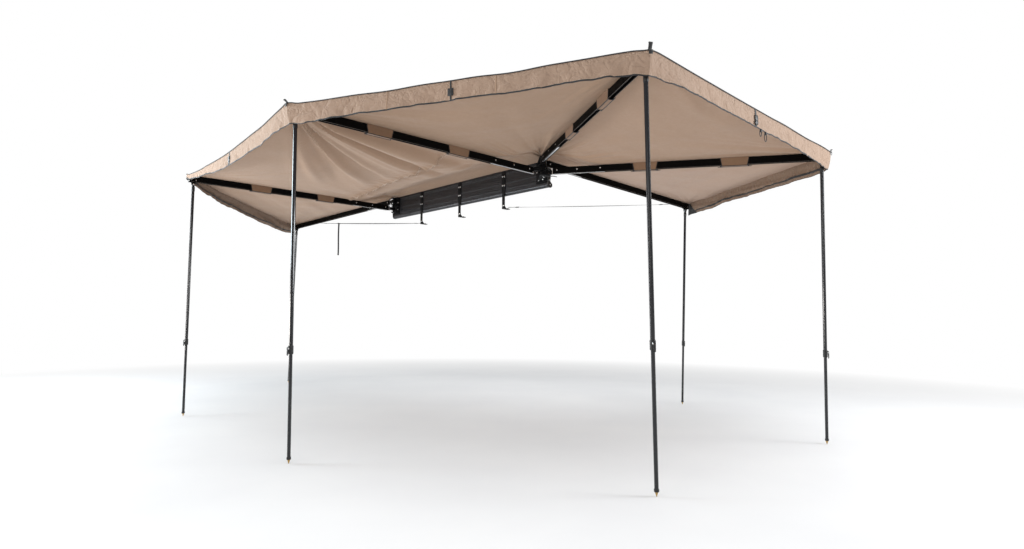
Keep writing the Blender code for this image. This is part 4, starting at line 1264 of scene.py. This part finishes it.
# ---------------------------------------------------------------- cloth sleeves round the arms
def sleeve(k, low, high, number):
    """A tan wrap sewn to the canopy that goes round the channel, in a darker brown that is painted shade, with a black
    cord along its lower corners that is a dark line of painted shade.
    """
    arm = ARM[k]
    seed = 90 + 7 * k + number
    outer = [
        (-0.0161, 0.0288), (-0.0160, 0.020), (-0.0159, 0.002), (-0.0160, -0.014), (-0.0159, -0.0245), (-0.0146, -0.0276),
        (-0.008, -0.0285), (0.0, -0.0287), (0.008, -0.0285),
        (0.0146, -0.0276), (0.0159, -0.0245), (0.0160, -0.014), (0.0159, 0.002), (0.0160, 0.020), (0.0161, 0.0288),
    ]
    outer = np.array(outer)
    outer[:, 0] *= 1.07
    outer[:, 1] -= 0.0034 * (outer[:, 1] < -0.020)
    fine = np.stack([np.interp(np.linspace(0, len(outer) - 1, 43), np.arange(len(outer)), outer[:, i]) for i in (0, 1)], axis=1)
    n_s = 26
    t = np.linspace(0, 1, n_s)
    S = low + (high - low) * t
    around = arc_length(np.column_stack([fine, np.zeros(len(fine))]))
    A, T = np.meshgrid(around, t, indexing="ij")
    ripple = 0.0005 * creases(A / 0.020, T * 7, seed) + 0.0004 * noise2(A / 0.012, T * 14, seed + 1)
    ends = np.exp(-((T / 0.05) ** 2)) + np.exp(-(((1 - T) / 0.05) ** 2))
    tangent = np.gradient(fine, axis=0)
    normal = unit(np.column_stack([-tangent[:, 1], tangent[:, 0]]))
    if normal[0, 0] > 0:
        normal = -normal
    below = fine[:, 1] < -0.020
    swell = np.minimum(ripple, 0.0002) + 0.0003 * ends
    swell = swell + np.where(below[:, None], 0.0008 * np.sin(math.pi * T) ** 0.5, 0.0)
    grid = []
    for j in range(n_s):
        off = fine + normal * swell[:, j, None]
        # the ends are cut on the slant, shorter along the bottom
        slant = 0.010 * np.clip((0.020 - off[:, 1]) / 0.048, 0, 1) * (1 if j < n_s / 2 else -1) * (abs(2 * t[j] - 1) ** 3)
        grid.append(arm.point(S[j] + slant, off[:, 0], off[:, 1]))
    grid = np.array(grid)
    obj, _, _ = shell(f"sleeve_{k}_{number}_cloth", grid, SLEEVE_PAINTED_SHADE, 0.0010)
    # the black cords along the lower corners stand in for a dark line of shade there: painted shade
    cords = Build()
    for side in (-1, 1):
        s = np.array([low - 0.002, low + 0.012, low + 0.030, (low + high) / 2, high - 0.030, high - 0.012, high + 0.002])
        up = np.array([-0.0322, -0.0322, -0.0320, -0.0324, -0.0320, -0.0322, -0.0322])
        points = arm.point(s, side * 0.0160, up)
        cords.add(sweep(curve(points, 36), ring(0.0030, 8)))
    for end in (grid[0], grid[-1]):
        cords.add(sweep(end[1:-1:2], ring(0.0024, 8), arm.d))
    # knotted tails at both ends
    for where, way in ((low + 0.004, -1), (high - 0.004, 1)):
        tail = arm.point(
            where + way * np.array([0.0, 0.006, 0.014, 0.024]), np.array([0.0142, 0.0150, 0.0160, 0.0168]),
            np.array([-0.0290, -0.0320, -0.0330, -0.0300]),
        )
        cords.add(sweep(curve(tail, 12), ring(0.0024, 8)))
        cords.add(block((0.010, 0.006, 0.007), 0.0020), arm.matrix(where + way * 0.004, 0.0142, -0.0310))
    cord_obj = cords.object(f"sleeve_{k}_{number}_binding", PIPING, 60)
    return obj, cord_obj


for k in (1, 2, 3, 4):
    for number, (low, high) in enumerate(SLEEVES):
        cloth, cord_obj = sleeve(k, low, high, number)
        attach(cloth, f"arm_{k}")
        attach(cord_obj, f"arm_{k}")
        press(cloth, k)
        press(cord_obj, k)


# ---------------------------------------------------------------- arm trim
def arm_trim(k):
    arm = ARM[k]
    s0, s1 = ARM_START + 0.001, arm.length + ARM_PAST - 0.001
    s = np.linspace(s0, s1, 60)
    ribs, edges, bolts, tip = Build(), Build(), Build(), Build()
    for side in (-1, 1):
        for up, high in ((0.0175, 0.0030), (0.0, 0.0022), (-0.0165, 0.0030)):
            ribs.add(sweep(arm.point(s, side * 0.01505, up), flat_section(0.0009, high, 0.4), arm.up))
        # a lighter bead along the lower corner of the channel: a painted highlight
        edges.add(sweep(arm.point(s, side * 0.0146, -0.0257), ring(0.0010, 8), arm.up))
        ribs.add(sweep(arm.point(s, side * 0.0078, -0.0264), flat_section(0.0016, 0.0010, 0.4), arm.up))
        for where in (0.115, 0.280, 0.467):
            m = facing(arm.point(where, side * 0.0150, 0.004), arm.left * side, arm.up)
            bolts.add(bolt(0.0040, 0.0026, True), scale_z(m, 0.40))
    # heads on the underside, through the slot into the bar
    for where in (0.150, 0.300, 0.440):
        bolts.add(bolt(0.0042, 0.0024, False), facing(arm.point(where, 0.0, -0.0262), -arm.up, arm.d))
    # end plate screws, a square tube stop, and the studs beside the pole head
    end = arm.point(arm.length + ARM_PAST + 0.0060, 0.0, 0.0)
    for side in (-0.0095, 0.0095):
        for up in (0.017, -0.017):
            bolts.add(bolt(0.0036, 0.0022, True), facing(end + arm.left * side + arm.up * up, arm.d, arm.up))
    tip.add(block((0.003, 0.024, 0.040), 0.0008), facing_block(end, arm, 0.0012))
    for side in (-1, 1):
        for where in (-0.018, 0.020):
            bolts.add(bolt(0.0036, 0.0018, False), scale_z(facing(arm.point(arm.length + where, side * 0.0150, -0.010), arm.left * side, arm.up), 0.5))
    made_objects = [
        ribs.object(f"arm_{k}_ribs", ARM_COAT, 40),
        edges.object(f"arm_{k}_edge_beads", EDGE_PAINTED_HIGHLIGHT, 60),
        bolts.object(f"arm_{k}_bolts", STEEL, 35),
        tip.object(f"arm_{k}_end_pad", PLASTIC, 40),
    ]
    # the label bare_aluminium here stands for the edge beads, which are a painted highlight
    for obj, slot in zip(made_objects, ("black_coated_aluminium", "bare_aluminium", "zinc_steel", "black_plastic")):
        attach(obj, f"arm_{k}")


def scale_z(m, k):
    m = m.copy()
    m[:3, 2] *= k
    return m


def facing_block(point, arm, out):
    return axes(point + arm.d * out, arm.d, arm.left, arm.up)


for k in range(6):
    arm_trim(k)


# ---------------------------------------------------------------- poles
def pole_trim(k):
    arm = ARM[k]
    U, L = arm.upper, arm.pole_length
    head, clamp, steel, foot = Build(), Build(), Build(), Build()
    # moulded cap over the tube's head, and pivot washers
    head.add(
        lathe([(0.0121, -0.060), (0.0134, -0.060), (0.0138, -0.057), (0.0138, -0.030), (0.0130, -0.0215), (0.0112, -0.0180), (0.0090, -0.0172), (0, -0.0172)], 24),
        arm.pole_frame(0.0),
    )
    for side in (-1, 1):
        m = facing(arm.pivot + arm.n * side * 0.0117, arm.n * side, arm.up)
        steel.add(bolt(0.0050, 0.0030, True), m)
    # clamp: ribs round the body, a screw and a nut, a finger tab
    for z in (-U + 0.024, -U + 0.012, -U, -U - 0.010):
        clamp.add(
            lathe([(0.0144, z - 0.0024), (0.0153, z - 0.0018), (0.0153, z + 0.0018), (0.0144, z + 0.0024)], 24),
            arm.pole_frame(0.0),
        )
    base = arm.pole_frame(U - 0.014)
    x, y = base[:3, 0], base[:3, 1]
    for side in (-1, 1):
        steel.add(bolt(0.0034, 0.0022, True), facing(base[:3, 3] - x * 0.0165 + y * side * 0.0062, y * side, Z))
    clamp.add(block((0.0030, 0.0100, 0.030), 0.0009), axes(arm.pivot + arm.p * (U + 0.008) - x * 0.0222, x, y, -arm.p))
    # collar on the tube's end over the spike
    end = L - FOOT_H
    foot.add(
        lathe([(0.0104, -0.012), (0.0122, -0.011), (0.0126, -0.006), (0.0126, 0.0), (0.0118, 0.0035), (0.0104, 0.0045)], 22),
        arm.pole_frame(end - 0.006),
    )
    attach(head.object(f"pole_{k}_cap", PLASTIC, 40), f"pole_{k}")
    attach(steel.object(f"pole_{k}_screws", STEEL, 35), f"pole_{k}")
    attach(clamp.object(f"pole_{k}_clamp_ribs", PLASTIC, 40), f"pole_{k}")
    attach(foot.object(f"pole_{k}_collar", PLASTIC, 40), f"pole_{k}_extension")


for k in range(6):
    pole_trim(k)


# ---------------------------------------------------------------- hub, hinge, plate and bracket details
def root_details():
    steel, black, plastic, ribs = Build(), Build(), Build(), Build()
    out = np.array((-1.0, 0.0, 0.0))
    # bracket bolts in two rows, and a pair through each foot
    for y in BRACKET_Y:
        for dy in (-0.0115, 0.0115):
            for z in (HUB[2] + 0.085, HUB[2] + 0.004):
                steel.add(bolt(0.0050, 0.0042), facing((FACE - 0.0050, y + dy, z), out))
            steel.add(bolt(0.0044, 0.0034), facing((FACE - 0.0050, y + dy * 0.7, HUB[2] - 0.176), out))
            steel.add(hex_nut(0.0075, 0.0055), facing((FACE + 0.045, y + dy * 0.8, HUB[2] - 0.2003), Z, out))
        black.add(block((0.0016, 0.0300, 0.120), 0.0007), axes(np.array((FACE - 0.0052, y, HUB[2] + 0.045)), *np.eye(3)))
    # webs of the two pin brackets
    for pin, spots in (
        (HUB, ((0.107, 0.049), (0.205, 0.049), (0.107, 0.092), (0.205, 0.092), (0.156, 0.092))),
        (FRONT, ((-0.026, 0.080), (0.051, 0.080), (-0.026, 0.004), (0.051, 0.004))),
    ):
        for y, z in spots:
            steel.add(bolt(0.0048, 0.0038), facing((FACE - 0.0053, pin[1] + y, pin[2] + z), out))
        side = 1.0 if pin is HUB else 0.0
        for x, y in ((0.050, 0.040 * side), (0.104, 0.104 * side + 0.016 * (1 - side)), (0.110, 0.160 * side - 0.020 * (1 - side))):
            for z, way in ((-0.0290, -1), (0.1270, 1)):
                steel.add(bolt(0.0042, 0.0034), facing((pin[0] + x, pin[1] + y, pin[2] + z), Z * way))
        # pressed ribs that stiffen the webs above and below the plates
        y0, y1 = ((0.098, 0.210) if pin is HUB else (-0.052, 0.070))
        for z in (-0.040, 0.116):
            path = np.array([(FACE - 0.0056, pin[1] + y, pin[2] + z) for y in np.linspace(y0, y1, 8)])
            black.add(sweep(path, flat_section(0.0080, 0.0026, 0.5), (-1, 0, 0)))
        # washer, nut and a bright screw head under the pin; the same head on top
        black.add(
            lathe([(0, -0.0054), (0.0062, -0.0054), (0.0088, -0.0046), (0.0090, -0.0006), (0.0130, -0.0006), (0.0130, 0.0), (0, 0.0)], 22),
            axes(pin + np.array((0, 0, -0.0290)), *np.eye(3)),
        )
        steel.add(bolt(0.0040, 0.0030, False), facing(pin + np.array((0, 0, -0.0344)), -Z, out))
        steel.add(bolt(0.0040, 0.0030, False), facing(pin + np.array((0, 0, 0.1318)), Z, out))
        # spacers between the eyes
        for level in (LOW, HIGH):
            black.add(
                lathe([(0.0064, -0.0005), (0.0150, -0.0005), (0.0150, 0.0005), (0.0064, 0.0005), (0.0064, -0.0005)], 22),
                axes(pin + np.array((0, 0, level)), *np.eye(3)),
            )
    # long ribs and a groove rolled into the plate's outer face
    run = np.linspace(PLATE_Y0 + 0.004, PLATE_Y1 - 0.004, 60)
    for z, wide in ((0.112, 0.0060), (0.098, 0.0040), (0.020, 0.0060), (-0.034, 0.0070), (-0.048, 0.0040)):
        path = np.stack([np.full_like(run, FACE - 0.0004), run, np.full_like(run, HUB[2] + z)], axis=1)
        ribs.add(sweep(path, flat_section(wide, 0.0030, 0.5), (-1, 0, 0)))
    # latch lever behind the rear hub
    lever = curve([HUB + np.array(p) for p in ((0.026, -0.014, -0.0330), (0.046, -0.040, -0.0345), (0.062, -0.064, -0.0370), (0.070, -0.086, -0.0440))], 24)
    plastic.add(sweep(lever, flat_section(0.014, 0.0045, 0.4)))
    # rear end cap screws and front end plate screws
    for x, z in ((0.010, PLATE_TOP - 0.016), (0.009, HUB[2] + 0.030), (0.010, HUB[2] - 0.030), (0.022, PLATE_LOW + ROLL_R)):
        steel.add(bolt(0.0038, 0.0030), facing((FACE + x, HUB[1] + 0.0765, z), (0, -1, 0)))
        steel.add(bolt(0.0042, 0.0036), facing((FACE + x, PLATE_Y1 + 0.0048, z), (0, 1, 0)))
    plastic.add(block((0.030, 0.004, 0.060), 0.0015), axes(np.array((FACE + 0.014, HUB[1] + 0.0758, HUB[2] + 0.080)), *np.eye(3)))
    # rail that holds the canopy's inner edge along the plate's top
    y = np.linspace(PLATE_Y0 + 0.002, PLATE_Y1 - 0.002, 80)
    rail = np.stack([np.full_like(y, FACE + 0.0068), y, np.full_like(y, PLATE_TOP + 0.0028)], axis=1)
    black.add(sweep(rail, flat_section(0.0165, 0.0030, 0.5)))
    black.add(sweep(rail + np.array((-0.0050, 0, 0.0032)), ring(0.0036, 10)))
    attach(steel.object("plate_bolts", STEEL, 35), "root")
    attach(ribs.object("plate_ribs", CHARCOAL, 50), "root")
    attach(black.object("plate_rail_and_pads", BLACK_COAT, 40), "root")
    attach(plastic.object("hub_lever_and_cap_pad", PLASTIC, 40), "root")


root_details()


# ---------------------------------------------------------------- travel cover behind the plate
def travel_cover():
    lo, hi = (np.array(c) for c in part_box("stow_bag"))
    n_y, n_a = 190, 44
    y = np.linspace(lo[1], hi[1], n_y)
    a = np.linspace(0, 2 * math.pi, n_a, endpoint=False)
    cx, cz = (lo[0] + hi[0]) / 2, (lo[2] + hi[2]) / 2
    rx, rz = (hi[0] - lo[0]) / 2, (hi[2] - lo[2]) / 2
    A, Y = np.meshgrid(a, y)
    power = 0.72
    X0 = np.sign(np.cos(A)) * np.abs(np.cos(A)) ** power
    Z0 = np.sign(np.sin(A)) * np.abs(np.sin(A)) ** 0.86
    straps = lo[1] + (hi[1] - lo[1]) * np.array((0.08, 0.36, 0.64, 0.92))
    pinch = sum(np.exp(-(((Y - s) / 0.045) ** 2)) for s in straps)
    rolls = 0.05 * np.sin(A * 3 + 0.8 * noise1(Y * 2.1, 5)) * np.clip(np.cos(A) + 0.3, 0, 1)
    lump = 0.06 * noise2(Y * 5, A * 1.2, 6) + 0.035 * creases(Y * 13, A * 2.4, 7)
    end = np.sqrt(np.clip(np.minimum(Y - lo[1], hi[1] - Y) / 0.030, 0, 1)) * 0.55 + 0.45
    k = np.clip((0.985 - 0.13 * pinch + rolls + lump) * end, 0.2, 1.0)
    grid = np.stack([cx + rx * X0 * k, Y, cz + rz * Z0 * k], axis=-1)
    points = grid.reshape(-1, 3)
    faces = []
    for i in range(n_y - 1):
        for j in range(n_a):
            m = (j + 1) % n_a
            faces.append((i * n_a + j, (i + 1) * n_a + j, (i + 1) * n_a + m, i * n_a + m))
    faces.append(tuple(range(n_a)))
    faces.append(tuple((n_y - 1) * n_a + j for j in range(n_a))[::-1])
    uv = np.stack([A * 0.045, Y], axis=-1).reshape(-1, 2)
    bag = Build().add((points, faces, uv)).object("travel_cover_roll", BAG, 60)
    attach(bag, "root")
    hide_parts("stow_bag")
    webs, buckles = Build(), Build()
    for s in straps:
        i = int(np.argmin(np.abs(y - s)))
        loop = grid[i][:, [0, 2]]
        centre = np.array((cx, cz))
        loop = centre + (loop - centre) * 1.02
        loop[:, 0] = np.clip(loop[:, 0], lo[0] - 0.0002, hi[0] + 0.004)
        path = np.column_stack([loop[:, 0], np.full(len(loop), s), loop[:, 1]])
        path = np.vstack([path, path[:1]])
        radial = unit(path - np.array((cx, s, cz)))
        webs.add(sweep(path, flat_section(0.025, 0.0016), radial))
        buckles.add(block((0.007, 0.034, 0.030), 0.0020), axes(np.array((hi[0] + 0.0035, s, cz + 0.020)), *np.eye(3)))
        buckles.add(block((0.005, 0.030, 0.024), 0.0018), axes(np.array((hi[0] + 0.0035, s, cz - 0.010)), *np.eye(3)))
    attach(webs.object("travel_cover_straps", WEBBING, 45), "root")
    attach(buckles.object("travel_cover_buckles", PLASTIC, 45), "root")


travel_cover()


# ---------------------------------------------------------------- tie-down straps
def tie_down(name, start, end, body, eye_body):
    """Flat webbing from a bracket foot to an arm, with a hook plate at each end; the front tie's slide buckle is added
    by the caller.
    """
    n = 40
    f = np.linspace(0, 1, n)
    path = start[None] * (1 - f)[:, None] + end[None] * f[:, None]
    path[:, 2] -= 0.004 * 4 * f * (1 - f)
    d = unit(end - start)
    flat_up = unit(np.cross(np.cross(d, Z), d))
    twist = 0.35 * np.sin(f * math.pi)
    side = np.cross(d, flat_up)
    ups = unit(flat_up[None] * np.cos(twist)[:, None] + side[None] * np.sin(twist)[:, None])
    strap = Build().add(sweep(path, flat_section(0.020, 0.0016), ups)).object(name + "_webbing", WEBBING, 45)
    hardware = Build()
    for k, centre in ((2, path[2]), (-3, path[-3])):
        m = axes(centre, d, np.cross(flat_up, d), flat_up)
        hardware.add(block((0.030, 0.026, 0.005), 0.0012), m)
    return strap, hardware, path, d, flat_up


front_start = np.array((FACE + 0.028, BRACKET_Y[2] + 0.030, HUB[2] - 0.192))
front_end = ARM[0].point(1.46, 0.0, -0.036)
rear_start = np.array((FACE + 0.028, BRACKET_Y[0] - 0.030, HUB[2] - 0.192))
rear_end = ARM[5].point(1.74, 0.0, -0.036)
for name, start, end, arm_body, node, joint in (
    ("front_tie", front_start, front_end, "arm_0", "front_strap", "front_fold"),
    ("rear_tie", rear_start, rear_end, "arm_5", "rear_strap", "fan_fold"),
):
    strap, hardware, path, d, flat_up = tie_down(name, start, end, arm_body, arm_body)
    if name == "front_tie":
        spot = start * 0.2 + end * 0.8 - Z * 0.00256
        m = axes(spot, d, np.cross(flat_up, d), flat_up)
        hardware.add(block((0.034, 0.028, 0.008), 0.0018), m)
        hardware.add(block((0.016, 0.022, 0.012), 0.0030), m)
        hang = start * 0.2 + end * 0.8 - Z * 0.0082
        drop = np.linspace(0.0, 0.380, 40)
        sway = 0.003 * np.sin(drop / 0.07) * smooth(drop / 0.06)
        tail = hang - Z * drop[:, None] + d * sway[:, None]
        tail_obj = Build().add(ribbon(tail, np.cross(d, Z), 0.020, 0.0016)).object("front_tie_tail", WEBBING, 45)
        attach(tail_obj, arm_body)
        if "front_strap_tail" in NODES:
            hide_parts("front_strap_tail")
    ends = hardware.object(name + "_buckles", PLASTIC, 45)
    for obj in (strap, ends):
        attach(obj, arm_body)
    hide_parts(node)


def declare(key, nodes, flat):
    panel, cloth = PANELS[key], PANELS[key].obj
    flip = key == "front"
    pieces = [cloth, *made[key]]
    for piece in pieces:
        panel.bind(piece, flip) if key != "main" else panel.bind(piece)
    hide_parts(*nodes)
    print(f"{key}: area {panel.area:.3f}, flat {flat[0] * flat[1]:.3f}")


declare("front", ["canopy_panel_front"], (2.86, 2.24))
declare("outer", ["canopy_panel_rear_outer"], (2.13, 2.22))
declare("rear", ["canopy_panel_rear"], (2.05, 2.22))
declare("inner", ["canopy_panel_rear_inner"], (2.09, 2.22))
declare("main", ["canopy_panel_main"], (2.40, 2.40))


# ---------------------------------------------------------------- floor, world and lights
def floor():
    """Pale grey under the awning, fading to plain white further out."""
    m = Shader("pale_floor", (0.80, 0.80, 0.81), 0.60, Specular_IOR_Level=0.2)
    m.colour(m.mix(m.span(m.noise(1.1, 4, 0.5), 0.3, 0.7), (0.79, 0.79, 0.80), (0.83, 0.83, 0.835)))
    m.bump(m.noise(90, 3, 0.6), 0.0006, 0.15)
    away = m.node("ShaderNodeVectorMath", operation="LENGTH")
    m.link(m.coords.outputs["Object"], away.inputs[0])
    fade = m.span(away.outputs["Value"], 3.4, 7.5)
    white = m.node("ShaderNodeEmission")
    white.inputs["Color"].default_value = (1, 1, 1, 1)
    white.inputs["Strength"].default_value = 1.0
    blend = m.node("ShaderNodeMixShader")
    m.link(fade, blend.inputs[0])
    m.link(m.shader.outputs[0], blend.inputs[1])
    m.link(white.outputs[0], blend.inputs[2])
    m.link(blend.outputs[0], m.tree.nodes["Material Output"].inputs["Surface"])
    mesh = bpy.data.meshes.new("floor")
    size = 60.0
    mesh.from_pydata([(-size, -size, 0), (size, -size, 0), (size, size, 0), (-size, size, 0)], [], [(0, 1, 2, 3)])
    mesh.materials.append(m.mat)
    obj = bpy.data.objects.new("floor", mesh)
    obj.location = (0, 0, GROUND)
    SCENE.collection.objects.link(obj)


floor()

world = bpy.data.worlds.new("studio")
SCENE.world = world
world.use_nodes = True
tree = world.node_tree
background = tree.nodes["Background"]
background.inputs["Color"].default_value = (1.0, 1.0, 1.0, 1)
background.inputs["Strength"].default_value = 0.46
backdrop = tree.nodes.new("ShaderNodeBackground")
backdrop.inputs["Color"].default_value = (1.0, 1.0, 1.0, 1)
backdrop.inputs["Strength"].default_value = 1.0
seen = tree.nodes.new("ShaderNodeLightPath")
blend = tree.nodes.new("ShaderNodeMixShader")
tree.links.new(seen.outputs["Is Camera Ray"], blend.inputs[0])
tree.links.new(background.outputs[0], blend.inputs[1])
tree.links.new(backdrop.outputs[0], blend.inputs[2])
tree.links.new(blend.outputs[0], tree.nodes["World Output"].inputs["Surface"])


def area_light(name, place, target, size, power, rgb=(1, 1, 1)):
    data = bpy.data.lights.new(name, "AREA")
    data.shape, data.size, data.size_y = "RECTANGLE", size[0], size[1]
    data.energy, data.color = power, rgb
    obj = bpy.data.objects.new(name, data)
    SCENE.collection.objects.link(obj)
    obj.location = place
    obj.rotation_mode = "QUATERNION"
    obj.rotation_quaternion = (Vector(target) - Vector(place)).to_track_quat("-Z", "Y")
    obj.visible_camera = False
    return obj


area_light("front_left_bank", (-6.5, 4.0, 0.9), (-0.8, 0.0, 0.0), (2.4, 2.0), 395, (0.80, 0.93, 1.0))
area_light("rear_right_bank", (3.0, -7.0, 1.0), (0.0, -1.0, -0.1), (2.4, 2.0), 325, (0.95, 0.98, 1.0))
area_light("low_left_bank", (-6.2, 2.4, -1.0), (-0.6, 0.2, 0.2), (1.6, 0.7), 120, (1.0, 0.97, 0.92))
area_light("left_strip", (-4.6, 5.6, 0.1), (-1.0, -1.0, -0.2), (1.3, 3.4), 150, (0.95, 0.98, 1.0))
area_light("near_left_fill", (-7.2, -3.6, 0.2), (-1.2, -1.0, 0.1), (2.0, 1.6), 62, (1.0, 0.98, 0.95))
area_light("top_bank", (-1.0, -2.5, 5.5), (-0.4, -1.0, 0.0), (6.0, 6.0), 250)
SCENE.view_settings.view_transform = "Standard"
SCENE.view_settings.look = "None"
SCENE.view_settings.exposure = 0.0
SCENE.view_settings.gamma = 1.0
